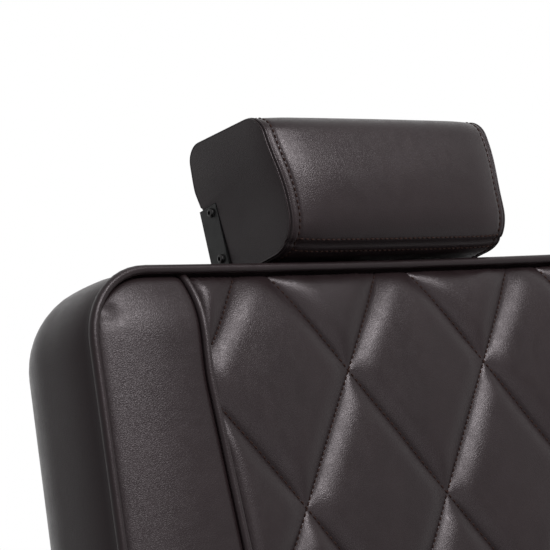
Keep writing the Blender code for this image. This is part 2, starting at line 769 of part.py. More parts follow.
def build_pump(finish, floor):
    """Fixed outer jacket of the hydraulic pump with its pedal ears, and the gland on top."""
    jacket = [
        (0.0, FLANGE_Z),
        (FLANGE_RADIUS, FLANGE_Z),
        (FLANGE_RADIUS, FLANGE_Z + FLANGE_THICKNESS),
        (JACKET_RADIUS + JACKET_FILLET, FLANGE_Z + FLANGE_THICKNESS),
        (JACKET_RADIUS, FLANGE_Z + FLANGE_THICKNESS + JACKET_FILLET),
        (JACKET_RADIUS, JACKET_TOP),
        (JACKET_BORE, JACKET_TOP),
        (JACKET_BORE, BORE_Z),
        (0.0, BORE_Z),
    ]
    body = add_mesh("pump_jacket", turned(jacket), finish["steel"], floor)
    root = JACKET_RADIUS - JACKET_WALL / 2
    nose = [polar(PEDAL_EYE, math.pi * (step / 8 - 0.5), PEDAL_PIVOT) for step in range(9)]
    ear = [(root, PEDAL_PIVOT[1] - PEDAL_EAR_ROOT), *nose, (root, PEDAL_PIVOT[1] + PEDAL_EAR_ROOT)]
    half = PEDAL_WIDTH / 2 + SIDE_PLAY
    for side in (-1, 1):
        near, far = sorted((side * half, side * (half + PEDAL_EAR)))
        combine(body, prism(ear, near, far, "Y"), "UNION")
    reach = half + PEDAL_EAR + THROUGH
    pin_hole = rod("Y", PEDAL_PIVOT, PEDAL_PIN_RADIUS + CLEARANCE, -reach, reach)
    combine(body, pin_hole)

    gland = [
        (RAM_RADIUS + RUNNING_FIT, JACKET_TOP + CLEARANCE),
        (GLAND_RADIUS, JACKET_TOP + CLEARANCE),
        (GLAND_RADIUS, GLAND_TOP - GLAND_CHAMFER),
        (GLAND_RADIUS - GLAND_CHAMFER, GLAND_TOP),
        (RAM_RADIUS + RUNNING_FIT, GLAND_TOP),
    ]
    add_mesh("pump_gland", turned(gland), finish["chrome"], floor)

    out = half + PEDAL_EAR + PEDAL_PIN_PROUD
    pin = rod("Y", (0.0, 0.0), PEDAL_PIN_RADIUS, -out, out)
    add_mesh("pedal_pin", pin, finish["screw"], floor, (PEDAL_PIVOT[0], 0.0, PEDAL_PIVOT[1]))


def build_pedal(finish, pivot):
    """Foot lever that works the pump, with its rubber pad."""
    end = PEDAL_REACH + PAD_LENGTH / 2
    path = [
        (0.0, 0.0, 0.0),
        (PEDAL_LOW_KNEE, PEDAL_LOW_RISE, PEDAL_BEND),
        (PEDAL_HIGH_KNEE, PEDAL_RISE, PEDAL_BEND),
        (end, PEDAL_RISE, 0.0),
    ]
    half = PEDAL_WIDTH / 2
    arm = add_mesh(
        "pedal_arm", prism(bent_bar(path, PEDAL_THICKNESS), -half, half, "Y"), finish["steel"], pivot
    )
    combine(arm, rod("Y", (0.0, 0.0), PEDAL_EYE, -half, half), "UNION")
    plate_top = PEDAL_RISE + PEDAL_THICKNESS / 2
    start = PEDAL_REACH - PAD_LENGTH / 2
    tread = PAD_WIDTH / 2
    plate = box((start, end), (-tread, tread), (PEDAL_RISE - PEDAL_THICKNESS / 4, plate_top))
    combine(arm, plate, "UNION")
    eye = rod("Y", (0.0, 0.0), PEDAL_PIN_RADIUS + RUNNING_FIT, -half - THROUGH, half + THROUGH)
    combine(arm, eye)

    outline = rounded(
        [
            (start, -tread, PAD_CORNER),
            (end, -tread, PAD_CORNER),
            (end, tread, PAD_CORNER),
            (start, tread, PAD_CORNER),
        ],
        4,
    )
    low = plate_top + CLEARANCE
    pad = strip_sheet(outline, 6, 6)
    for point in pad.verts:
        inside = edge_distance(point.co.x, point.co.y, outline)
        point.co.z = low + PAD_THICKNESS - PAD_DOME + PAD_DOME * quarter(inside / PAD_DOME_RUN)
    close_sheet(pad, outline, [(low, 0.0)])
    add_mesh("pedal_pad", pad, finish["rubber"], pivot)


def build_lift(finish, lift):
    """Piston that the oil raises and the bearing that the ram turns on."""
    start = BORE_Z + CLEARANCE
    piston = rod("Z", (0.0, 0.0), RAM_RADIUS + RUNNING_FIT, start, start + PISTON_LENGTH, 32)
    add_mesh("lift_piston", piston, finish["iron"], lift)
    low = BORE_Z + PISTON_LENGTH + 2 * CLEARANCE
    bearing = turned(
        [
            (BEARING_BORE, low),
            (BEARING_RADIUS, low),
            (BEARING_RADIUS, low + BEARING_LENGTH),
            (BEARING_BORE, low + BEARING_LENGTH),
        ],
        32,
    )
    add_mesh("thrust_bearing", bearing, finish["chrome"], lift)


def build_column(finish, swivel):
    """Ram, the sleeve that hides it and the plate that carries the seat."""
    ram = turned(
        [
            (0.0, MOUNT_Z - CLEARANCE),
            (RAM_RADIUS, MOUNT_Z - CLEARANCE),
            (RAM_RADIUS, RAM_Z),
            (0.0, RAM_Z),
        ],
        40,
    )
    add_mesh("lift_ram", ram, finish["chrome"], swivel)

    sleeve_in = GLAND_RADIUS + SLEEVE_GAP
    sleeve_low = JACKET_TOP - LIFT_TRAVEL
    sleeve = turned(
        [
            (sleeve_in, sleeve_low),
            (sleeve_in + SLEEVE_WALL, sleeve_low),
            (sleeve_in + SLEEVE_WALL, MOUNT_Z - CLEARANCE),
            (sleeve_in, MOUNT_Z - CLEARANCE),
        ]
    )
    add_mesh("column_sleeve", sleeve, finish["chrome"], swivel)

    half = MOUNT_SIDE / 2
    outline = rounded([(*corner, MOUNT_CORNER) for corner in rectangle(-half, half, -half, half)], 4)
    plate = add_mesh(
        "seat_mount", prism(outline, MOUNT_Z, MOUNT_Z + MOUNT_THICKNESS, "Z"), finish["steel"], swivel
    )
    hub = turned(
        [
            (RAM_RADIUS + CLEARANCE, HUB_Z),
            (RAM_RADIUS + HUB_WALL, HUB_Z),
            (RAM_RADIUS + HUB_WALL, MOUNT_Z + MOUNT_THICKNESS / 2),
            (RAM_RADIUS + CLEARANCE, MOUNT_Z + MOUNT_THICKNESS / 2),
        ],
        40,
    )
    combine(plate, hub, "UNION")


def build_frame(finish, swivel):
    """Welded seat frame: two rails with the hinge plates of the back, and two crossmembers."""
    top = FRAME_Z + RAIL_HEIGHT
    for name, side in (("left", -1), ("right", 1)):
        near, far = sorted((side * RAIL_INNER, side * RAIL_OUTER))
        section = rectangle(near, far, FRAME_Z, top)
        rail = add_mesh(f"rail_{name}", prism(section, RAIL_FRONT, RAIL_REAR, "Y"), finish["steel"], swivel)
        hollow = rectangle(near + TUBE_WALL, far - TUBE_WALL, FRAME_Z + TUBE_WALL, top - TUBE_WALL)
        combine(rail, prism(hollow, RAIL_FRONT - THROUGH, RAIL_REAR + THROUGH, "Y"))
        foot = (RAIL_REAR - HINGE_FOOT, RAIL_MIDDLE)
        plate = capsule(foot, (PIVOT_Y, PIVOT_Z), RAIL_HEIGHT / 2 - FLUSH_STEP, HINGE_EYE, 10)
        combine(rail, prism(plate, *sorted((side * HINGE_INNER, side * HINGE_OUTER)), "X"), "UNION")
        span = sorted((side * (HINGE_INNER - THROUGH), side * (RAIL_OUTER + THROUGH)))
        combine(rail, rod("X", (PIVOT_Y, PIVOT_Z), HINGE_BOLT_RADIUS + CLEARANCE, *span))
        if side > 0:
            hole = LEVER_SHAFT_RADIUS + RUNNING_FIT
            combine(rail, rod("X", (LEVER_Y, RAIL_MIDDLE), hole, *span))
    reach = RAIL_INNER - CLEARANCE
    for name, side in (("front", -1), ("rear", 1)):
        low = side * CROSS_OFFSET - CROSS_WIDTH / 2
        tube = box((-reach, reach), (low, low + CROSS_WIDTH), (FRAME_Z, top))
        bar = add_mesh(f"{name}_crossmember", tube, finish["steel"], swivel)
        inside = (low + TUBE_WALL, low + CROSS_WIDTH - TUBE_WALL)
        hollow = (FRAME_Z + TUBE_WALL, top - TUBE_WALL)
        combine(bar, box((-reach - THROUGH, reach + THROUGH), inside, hollow))


def build_hinge_bolts(finish, swivel):
    """Shouldered bolts that the back turns on, with head and nut."""
    for name, side in (("left", -1), ("right", 1)):
        inner = ARM_OUTER - ARM_PLATE
        outer = HINGE_OUTER
        shank = sorted((side * (inner - BOLT_HEAD), side * (outer + BOLT_HEAD)))
        bolt = add_mesh(
            f"hinge_bolt_{name}",
            rod("X", (0.0, 0.0), HINGE_BOLT_RADIUS, *shank),
            finish["screw"],
            swivel,
            (0.0, PIVOT_Y, PIVOT_Z),
        )
        head = sorted((side * (inner - RUNNING_FIT), side * (inner - BOLT_HEAD - HEAD_OVER_SHANK)))
        nut = sorted((side * (outer + CLEARANCE), side * (outer + BOLT_HEAD + HEAD_OVER_SHANK)))
        combine(bolt, rod("X", (0.0, 0.0), BOLT_HEAD_RADIUS, *head), "UNION")
        combine(bolt, rod("X", (0.0, 0.0), BOLT_HEAD_RADIUS, *nut, steps=6), "UNION")


def lock_pin_y():
    """Where the lock rod's pin stands with the back upright."""
    return PIVOT_Y + LOCK_RADIUS * math.tan(RECLINE_RANGE / 2)


def lock_stroke():
    """How far the rod travels over the whole recline."""
    return 2 * LOCK_RADIUS * math.tan(RECLINE_RANGE / 2)


def build_lock(finish, swivel, slide):
    """Locking cylinder under the seat and the rod with the fork that holds the back's lever."""
    start = CROSS_OFFSET + CROSS_WIDTH / 2 + CLEARANCE
    fork_front = -FORK_REACH - FORK_BASE
    pin = lock_pin_y()
    end = pin + fork_front - lock_stroke() - SIDE_PLAY
    tube = add_mesh(
        "lock_cylinder",
        rod("Y", (0.0, RAIL_MIDDLE), CYLINDER_RADIUS, start, end, 32),
        finish["steel"],
        swivel,
    )
    low = RAIL_MIDDLE - CYLINDER_FLANGE_RISE
    high = RAIL_MIDDLE + CYLINDER_FLANGE_RISE
    flange = rectangle(-CYLINDER_FLANGE_HALF, CYLINDER_FLANGE_HALF, low, high)
    combine(tube, prism(flange, start, start + CYLINDER_FLANGE, "Y"), "UNION")
    bore = ROD_RADIUS + RUNNING_FIT
    combine(tube, rod("Y", (0.0, RAIL_MIDDLE), bore, start + CYLINDER_WALL_END, end + THROUGH, 20))

    inner_end = start + CYLINDER_WALL_END + CYLINDER_END_GAP + lock_stroke() - pin
    shaft = rod("Y", (0.0, 0.0), ROD_RADIUS, inner_end, fork_front + FORK_BASE / 2, 20)
    bar = add_mesh("lock_rod", shaft, finish["chrome"], slide)
    cheek_in = LEVER_PLATE / 2 + SIDE_PLAY
    cheek_out = cheek_in + FORK_CHEEK
    rise = LOCK_PIN_RADIUS + FORK_CHEEK
    base = box((-cheek_out, cheek_out), (fork_front, -FORK_REACH), (-rise, rise))
    combine(bar, base, "UNION")
    for side in (-1, 1):
        span = sorted((side * cheek_in, side * cheek_out))
        root = (fork_front + rise, 0.0)
        cheek = capsule(root, (0.0, 0.0), rise - FLUSH_STEP, rise - 2 * FLUSH_STEP, 6)
        combine(bar, prism(cheek, *span, "X"), "UNION")
    pin_half = cheek_out - FORK_PIN_INSET
    combine(bar, rod("X", (0.0, 0.0), LOCK_PIN_RADIUS, -pin_half, pin_half, 20), "UNION")


def build_release(finish, pivot):
    """Hand lever on its cross shaft, with the finger that trips the lock and a rubber grip."""
    shaft_in = CYLINDER_RADIUS + FINGER_GAP
    plate_in = RAIL_OUTER + SIDE_PLAY
    plate_out = plate_in + LEVER_BAR
    lever = add_mesh(
        "release_lever",
        rod("X", (0.0, 0.0), LEVER_SHAFT_RADIUS, shaft_in, plate_out),
        finish["steel"],
        pivot,
    )
    finger = capsule((0.0, 0.0), (-FINGER_LENGTH, 0.0), FINGER_ROOT, FINGER_TIP, 6)
    combine(lever, prism(finger, shaft_in, shaft_in + FINGER_WIDTH, "X"), "UNION")
    knee = (LEVER_KNEE, -LEVER_DROP, LEVER_BEND)
    path = [(0.0, 0.0, 0.0), knee, (LEVER_LENGTH + GRIP_LENGTH, -LEVER_DROP, 0.0)]
    combine(lever, prism(bent_bar(path, LEVER_HEIGHT), plate_in, plate_out, "X"), "UNION")
    combine(lever, rod("X", (0.0, 0.0), LEVER_EYE, plate_in, plate_out), "UNION")

    middle = ((plate_in + plate_out) / 2, -LEVER_DROP)
    start = LEVER_LENGTH
    grip = add_mesh(
        "lever_grip",
        rod("Y", middle, GRIP_RADIUS, start, LEVER_LENGTH + GRIP_LENGTH + GRIP_END, 24),
        finish["rubber"],
        pivot,
    )
    slot = box(
        (plate_in - CLEARANCE, plate_out + CLEARANCE),
        (start - THROUGH, LEVER_LENGTH + GRIP_LENGTH + CLEARANCE),
        (-LEVER_DROP - LEVER_HEIGHT / 2 - CLEARANCE, -LEVER_DROP + LEVER_HEIGHT / 2 + CLEARANCE),
    )
    combine(grip, slot)


def seat_corners():
    """Plan of the seat cushion at its welt."""
    return [
        (SEAT_HALF_REAR, SEAT_REAR, SEAT_CORNER_REAR),
        (-SEAT_HALF_REAR, SEAT_REAR, SEAT_CORNER_REAR),
        (-SEAT_HALF_FRONT, SEAT_FRONT, SEAT_CORNER_FRONT),
        (SEAT_HALF_FRONT, SEAT_FRONT, SEAT_CORNER_FRONT),
    ]


def build_seat(finish, swivel):
    """Plywood board, foam with its boxing, quilted top and piping."""
    welt_z = SEAT_PAD_Z - PAD_BASE
    board = rounded(inset(seat_corners(), BOARD_INSET), 5)
    add_mesh("seat_board", prism(board, BOARD_Z, BOARD_Z + BOARD, "Z"), finish["wood"], swivel)

    outline = rounded(inset(seat_corners(), FOAM_INSET), 6)
    core = strip_sheet(outline, 8, 8)
    bmesh.ops.translate(core, verts=core.verts, vec=(0.0, 0.0, SEAT_FOAM))
    sections = [
        (SEAT_FOAM * 0.85, 0.0),
        (SEAT_FOAM * 0.50, SEAT_BULGE),
        (SEAT_FOAM * 0.15, SEAT_BULGE / 4),
        (0.0, -SEAT_TUCK),
    ]
    close_sheet(core, outline, sections)
    add_mesh("seat_core", core, finish["foam"], swivel, (0.0, 0.0, FOAM_Z))

    pad = quilted_pad(inset(seat_corners(), WELT_RADIUS + CLEARANCE), SEAT_REAR - QUILT_TOP)
    place = (0.0, 0.0, welt_z)
    add_mesh("seat_pad", pad, finish["leather"], swivel, place, SEWN_ANGLE)
    ring = [(u, v, 0.0) for u, v in welt_ring(seat_corners())]
    add_welt("seat_welt", ring, finish["leather"], swivel, place, True)
    low = SEAT_FRONT + 3 * WELT_RADIUS
    high = SEAT_REAR - 3 * WELT_RADIUS
    for name, side in (("left", -1), ("right", 1)):
        path = seam_welt_path(side, low, high, 0.0)
        add_welt(f"seat_seam_welt_{name}", path, finish["leather"], swivel, place, False)


def build_arms(finish, swivel):
    """Steel side loops bolted to the rails, with padded armrests."""
    low = FRAME_Z + ARM_BOTTOM
    high = FRAME_Z + ARM_TOP
    corners = [
        (ARM_LUG_FRONT - ARM_FOOT_FRONT, low, ARM_CORNER),
        (ARM_LUG_REAR + ARM_FOOT_REAR, low, ARM_CORNER),
        (ARM_PAD_REAR - ARM_PAD_OVERHANG, high, ARM_CORNER),
        (ARM_PAD_FRONT + ARM_PAD_OVERHANG, high, ARM_CORNER),
    ]
    for name, side in (("left", -1), ("right", 1)):
        span = sorted((side * ARM_X, side * (ARM_X + ARM_THICKNESS)))
        loop = add_mesh(
            f"arm_frame_{name}", prism(rounded(corners, 6), *span, "X"), finish["steel"], swivel
        )
        wide = sorted((side * (ARM_X - THROUGH), side * (ARM_X + ARM_THICKNESS + THROUGH)))
        combine(loop, prism(rounded(inset(corners, ARM_BAR), 6), *wide, "X"))
        for lug in (ARM_LUG_FRONT, ARM_LUG_REAR):
            reach = sorted((side * (RAIL_OUTER + CLEARANCE), side * (ARM_X + ARM_THICKNESS / 2)))
            foot = (lug - ARM_LUG_WIDTH / 2, lug + ARM_LUG_WIDTH / 2)
            bar = box(reach, foot, (RAIL_MIDDLE - ARM_LUG / 2, RAIL_MIDDLE + ARM_LUG / 2))
            combine(loop, bar, "UNION")

        middle = side * (ARM_X + ARM_THICKNESS / 2)
        half = ARM_PAD_WIDTH / 2
        plan = rounded(
            [
                (-half, ARM_PAD_FRONT, ARM_PAD_CORNER),
                (half, ARM_PAD_FRONT, ARM_PAD_CORNER),
                (half, ARM_PAD_REAR, ARM_PAD_CORNER),
                (-half, ARM_PAD_REAR, ARM_PAD_CORNER),
            ],
            5,
        )
        pad = strip_sheet(plan, 6, 12)
        side_height = ARM_PAD_HEIGHT - ARM_PAD_CROWN
        for point in pad.verts:
            inside = edge_distance(point.co.x, point.co.y, plan)
            point.co.z = side_height + ARM_PAD_CROWN * quarter(inside / half)
        sides = [
            (side_height * 0.55, ARM_PAD_BULGE),
            (side_height * 0.15, 0.0),
            (0.0, -ARM_PAD_TUCK),
        ]
        close_sheet(pad, plan, sides)
        place = (middle, 0.0, high + CLEARANCE)
        add_mesh(f"arm_pad_{name}", pad, finish["leather"], swivel, place, 50)


def strut_path():
    """Centre line of a footrest strut, from the rail's front end to past the axle."""
    axle_y, axle_z = axle_place()
    return [
        (RAIL_FRONT - CLEARANCE, RAIL_MIDDLE, 0.0),
        (STRUT_BEND_Y, RAIL_MIDDLE, STRUT_BEND_RADIUS),
        (STRUT_FOOT_Y, STRUT_FOOT_Z, STRUT_BEND_RADIUS),
        (axle_y - STRUT_TOE, axle_z - STRUT_TOE_DROP, 0.0),
    ]


def axle_place():
    """Foot plate's axle as (y, z)."""
    return (STRUT_FOOT_Y - AXLE_FORWARD, STRUT_FOOT_Z - AXLE_DROP)


def build_footrest(finish, swivel):
    """Bent struts ahead of the rails, the axle between them and the padded calf board."""
    axle_y, axle_z = axle_place()
    for name, side in (("left", -1), ("right", 1)):
        span = sorted((side * RAIL_INNER, side * RAIL_OUTER))
        strut = add_mesh(
            f"foot_strut_{name}",
            prism(bent_bar(strut_path(), STRUT_THICKNESS, 6), *span, "X"),
            finish["steel"],
            swivel,
        )
        cap = (RAIL_FRONT - CLEARANCE - STRUT_CAP, RAIL_FRONT - CLEARANCE)
        combine(strut, box(span, cap, (FRAME_Z, FRAME_Z + RAIL_HEIGHT)), "UNION")
        wide = sorted((side * (RAIL_INNER - THROUGH), side * (RAIL_OUTER + THROUGH)))
        combine(strut, rod("X", (axle_y, axle_z), AXLE_RADIUS + CLEARANCE, *wide))
    reach = RAIL_OUTER + AXLE_PROUD
    add_mesh(
        "foot_axle",
        rod("X", (0.0, 0.0), AXLE_RADIUS, -reach, reach),
        finish["chrome"],
        swivel,
        (0.0, axle_y, axle_z),
    )

    slope = Vector((STRUT_FOOT_Y - STRUT_BEND_Y, STRUT_FOOT_Z - RAIL_MIDDLE))
    middle = Vector((STRUT_BEND_Y, RAIL_MIDDLE)) + slope.normalized() * CALF_DOWN
    facing = make_empty(
        "calf_frame",
        swivel,
        (0.0, middle.x, middle.y),
        math.atan2(-slope.y, -slope.x),
    )
    lift = STRUT_THICKNESS / 2 + CLEARANCE
    half = RAIL_OUTER - CALF_SIDE_INSET
    length = CALF_LENGTH / 2
    corners = [
        (-half, -length, CALF_CORNER),
        (half, -length, CALF_CORNER),
        (half, length, CALF_CORNER),
        (-half, length, CALF_CORNER),
    ]
    board = prism(rounded(inset(corners, CALF_BOARD_INSET)), lift, lift + CALF_BOARD, "Z")
    add_mesh("calf_board", board, finish["wood"], facing)
    plan = rounded(corners)
    base = lift + CALF_BOARD + CLEARANCE
    pad = strip_sheet(plan, 12, 6)
    edge = base + CALF_FOAM - CALF_CROWN
    for point in pad.verts:
        inside = edge_distance(point.co.x, point.co.y, plan)
        point.co.z = edge + CALF_CROWN * quarter(inside / length)
    close_sheet(pad, plan, [(base + CALF_FOAM * 0.45, CALF_BULGE), (base, -CALF_BULGE)])
    add_mesh("calf_pad", pad, finish["leather"], facing, sharp=50)


def build_foot_plate(finish, pivot):
    """Flip-up plate with its hinge barrel and a ribbed rubber tread."""
    half = RAIL_INNER - FOOT_SIDE_GAP
    barrel = AXLE_RADIUS + RUNNING_FIT + BARREL_WALL
    lean = Matrix.Rotation(-FOOT_PLATE_TILT, 2)

    def tilted(outline):
        return [tuple(lean @ Vector(point)) for point in outline]

    top = barrel - FOOT_PLATE_SET
    under = top - FOOT_PLATE_THICKNESS
    end = -FOOT_PLATE_LENGTH
    side = [
        (0.0, under),
        (0.0, top),
        (end, top),
        (end - FOOT_LIP, top + FOOT_LIP),
        (end - FOOT_LIP - FOOT_PLATE_THICKNESS, top + FOOT_LIP - FOOT_PLATE_THICKNESS / 2),
        (end - FOOT_PLATE_THICKNESS / 2, under),
    ]
    plate = add_mesh("foot_plate", prism(tilted(side), -half, half, "X"), finish["steel"], pivot)
    combine(plate, rod("X", (0.0, 0.0), barrel, -half, half), "UNION")
    combine(plate, rod("X", (0.0, 0.0), AXLE_RADIUS + RUNNING_FIT, -half - THROUGH, half + THROUGH))

    low = top + CLEARANCE
    start = -TREAD_MARGIN
    pitch = (FOOT_PLATE_LENGTH - 2 * TREAD_MARGIN) / TREAD_RIBS
    ribs = [(start, low)]
    for rib in range(TREAD_RIBS):
        at = start - rib * pitch
        crest = at - TREAD_FLANK
        ribs.append((at, low + TREAD_THICKNESS))
        ribs.append((crest, low + TREAD_THICKNESS + TREAD_RIB))
        ribs.append((crest - TREAD_CREST, low + TREAD_THICKNESS + TREAD_RIB))
        ribs.append((crest - TREAD_CREST - TREAD_FLANK, low + TREAD_THICKNESS))
    ribs.append((start - TREAD_RIBS * pitch, low))
    width = half - TREAD_MARGIN
    add_mesh("foot_tread", prism(tilted(ribs), -width, width, "X"), finish["rubber"], pivot)


def back_corners():
    """Front outline of the backrest at its welt."""
    return [
        (BACK_HALF_TOP, 0.0, BACK_CORNER_TOP),
        (-BACK_HALF_TOP, 0.0, BACK_CORNER_TOP),
        (-BACK_HALF_WIDEST, BACK_WIDEST_V, BACK_WAIST_RADIUS),
        (-BACK_HALF_BOTTOM, -BACK_LENGTH, BACK_CORNER_BOTTOM),
        (BACK_HALF_BOTTOM, -BACK_LENGTH, BACK_CORNER_BOTTOM),
        (BACK_HALF_WIDEST, BACK_WIDEST_V, BACK_WAIST_RADIUS),
    ]


def build_back_frame(finish, hinge):
    """Angle arms that hang the back on its hinge, the bar between them with the lock's slotted lever."""
    arm_rear = FOAM_REAR + CLEARANCE
    web_low = arm_rear + ARM_DEPTH
    arm_top = -BACK_LENGTH + ARM_LENGTH_IN_BACK
    arm_low = -BACK_LENGTH + ARM_FOOT
    for name, side in (("left", -1), ("right", 1)):
        outer = side * ARM_OUTER
        inner = side * (ARM_OUTER - ARM_PLATE)
        toe = side * (ARM_OUTER - ARM_FLANGE)
        angle = [
            (outer, arm_rear),
            (outer, web_low),
            (inner, web_low),
            (inner, arm_rear + ARM_PLATE),
            (toe, arm_rear + ARM_PLATE),
            (toe, arm_rear),
        ]
        bar = prism(angle, arm_low, arm_top, "Y")
        arm = add_mesh(f"hinge_arm_{name}", bar, finish["steel"], hinge, BACK_ORIGIN)
        web_middle = (arm_low + HINGE_EYE, (arm_rear + web_low) / 2)
        eye = capsule(web_middle, (PIVOT_V, -PIVOT_DEPTH), ARM_DEPTH / 2 - FLUSH_STEP, ARM_EYE, 10)
        combine(arm, prism(eye, *sorted((inner, outer)), "X"), "UNION")
        span = sorted((inner - side * THROUGH, outer + side * THROUGH))
        combine(arm, rod("X", (PIVOT_V, -PIVOT_DEPTH), HINGE_BOLT_RADIUS + RUNNING_FIT, *span))

    reach = ARM_OUTER - ARM_PLATE - CLEARANCE
    bar_at = (CROSSBAR_ABOVE_PIVOT, 0.0)
    bar = add_mesh("back_crossbar", rod("X", bar_at, CROSSBAR_RADIUS, -reach, reach), finish["steel"], hinge)
    lean = RECLINE + RECLINE_RANGE / 2  # the lever hangs straight down halfway through the recline
    heading = Vector((-math.cos(lean), -math.sin(lean)))
    pin_far = LOCK_RADIUS / math.cos(RECLINE_RANGE / 2)
    lever_end = heading * (pin_far + LOCK_PIN_RADIUS + SLOT_PLAY)
    half = LEVER_PLATE / 2
    plate = capsule(bar_at, tuple(lever_end), LEVER_ROOT_RADIUS, LEVER_END_RADIUS, 8)
    combine(bar, prism(plate, -half, half, "X"), "UNION")
    slot_half = LOCK_PIN_RADIUS + SLOT_PLAY
    slot_start = tuple(heading * (LOCK_RADIUS - SLOT_PLAY))
    slot_end = tuple(heading * (pin_far + SLOT_PLAY))
    slot = capsule(slot_start, slot_end, slot_half, slot_half)
    combine(bar, prism(slot, -half - THROUGH, half + THROUGH, "X"))


def build_back_cushion(finish, hinge):
    """Board, foam with its boxing, quilted face, piping and the rounded rear cover."""
    corners = back_corners()
    plan = rounded(inset(corners, BACK_BOARD_INSET), 6)
    board = prism(plan, BACK_BOARD_FRONT - BACK_BOARD, BACK_BOARD_FRONT, "Z")
    add_mesh("back_board", board, finish["wood"], hinge, BACK_ORIGIN)

    outline = rounded(inset(corners, FOAM_INSET), 6)
    core = strip_sheet(outline, 10, 8)
    bmesh.ops.translate(core, verts=core.verts, vec=(0.0, 0.0, FOAM_FRONT))
    sections = [
        (FOAM_FRONT - BACK_FOAM * 0.20, 0.0),
        (FOAM_FRONT - BACK_FOAM * 0.60, BACK_SIDE_BULGE),
        (FOAM_REAR, BACK_SIDE_BULGE * 0.5),
    ]
    close_sheet(core, outline, sections)
    bow(core, FOAM_REAR)
    foam = add_mesh("back_core", core, finish["foam"], hinge, BACK_ORIGIN, 50)
    cut_frame_pockets(foam)

    pad = quilted_pad(inset(corners, WELT_RADIUS + CLEARANCE), -QUILT_TOP)
    bow(pad, FOAM_REAR)
    add_mesh("back_pad", pad, finish["leather"], hinge, BACK_ORIGIN, SEWN_ANGLE)
    ring = [(u, v, bow_at(u)) for u, v in welt_ring(corners)]
    add_welt("back_welt", ring, finish["leather"], hinge, BACK_ORIGIN, True)
    low = -BACK_LENGTH + 3 * WELT_RADIUS
    for name, side in (("left", -1), ("right", 1)):
        path = seam_welt_path(side, low, -3 * WELT_RADIUS, bow_at(INNER_SEAM))
        add_welt(f"back_seam_welt_{name}", path, finish["leather"], hinge, BACK_ORIGIN, False)

    cover_outline = rounded(inset(corners, -BACK_COVER_PROUD), 6)
    cover = strip_sheet(cover_outline, 4, 4)
    bmesh.ops.translate(cover, verts=cover.verts, vec=(0.0, 0.0, COVER_FRONT))
    sections = []
    for step in range(1, 5):
        angle = math.pi / 2 * step / 4
        sections.append(
            (COVER_FRONT - BACK_COVER * math.sin(angle), -BACK_ROUNDING * (1.0 - math.cos(angle)))
        )
    close_sheet(cover, cover_outline, sections)
    add_mesh("back_cover", cover, finish["leather"], hinge, BACK_ORIGIN, 50)


def cut_frame_pockets(foam):
    """Pockets in the foam for the hinge arms and the headrest's socket, open to the board behind."""
    arm_rear = FOAM_REAR + CLEARANCE
    open_rear = FOAM_REAR - POCKET_OPEN
    top = -BACK_LENGTH + ARM_LENGTH_IN_BACK + CLEARANCE
    for side in (-1, 1):
        web = sorted((side * (ARM_OUTER + CLEARANCE), side * (ARM_OUTER - ARM_PLATE - CLEARANCE)))
        flange = sorted((side * (ARM_OUTER + CLEARANCE), side * (ARM_OUTER - ARM_FLANGE - CLEARANCE)))
        below = -BACK_LENGTH - THROUGH
        combine(foam, box(web, (below, top), (open_rear, arm_rear + ARM_DEPTH + CLEARANCE)))
        combine(foam, box(flange, (below, top), (open_rear, arm_rear + ARM_PLATE + CLEARANCE)))
    half = socket_half_width() + CLEARANCE
    front = POST_FRONT + SOCKET_PLAY + SOCKET_WALL + CLEARANCE
    length = (-SOCKET_LENGTH - CLEARANCE, BACK_SIDE_BULGE + THROUGH)
    combine(foam, box((-half, half), length, (open_rear, front)))


def socket_half_width():
    """Half the outer width of the headrest's socket."""
    return POST_WIDTH / 2 + SOCKET_PLAY + SOCKET_WALL


def build_socket(finish, hinge):
    """Steel guide for the headrest's post, with a collar where it leaves the cushion."""
    half = socket_half_width()
    post_rear = POST_FRONT - POST_THICKNESS
    rear = post_rear - SOCKET_PLAY - SOCKET_WALL
    front = POST_FRONT + SOCKET_PLAY + SOCKET_WALL
    collar_low = BACK_SIDE_BULGE + CLEARANCE
    tube = box((-half, half), (-SOCKET_LENGTH, collar_low + COLLAR_THICKNESS), (rear, front))
    socket = add_mesh("headrest_socket", tube, finish["steel"], hinge, BACK_ORIGIN)
    wide = half + COLLAR_RIM
    deep = (rear - COLLAR_RIM / 2, front + COLLAR_RIM)
    combine(socket, box((-wide, wide), (collar_low, collar_low + COLLAR_THICKNESS), deep), "UNION")
    clear = POST_WIDTH / 2 + SOCKET_PLAY
    bore = (post_rear - SOCKET_PLAY, POST_FRONT + SOCKET_PLAY)
    whole = (-SOCKET_LENGTH - THROUGH, collar_low + COLLAR_THICKNESS + THROUGH)
    combine(socket, box((-clear, clear), whole, bore))


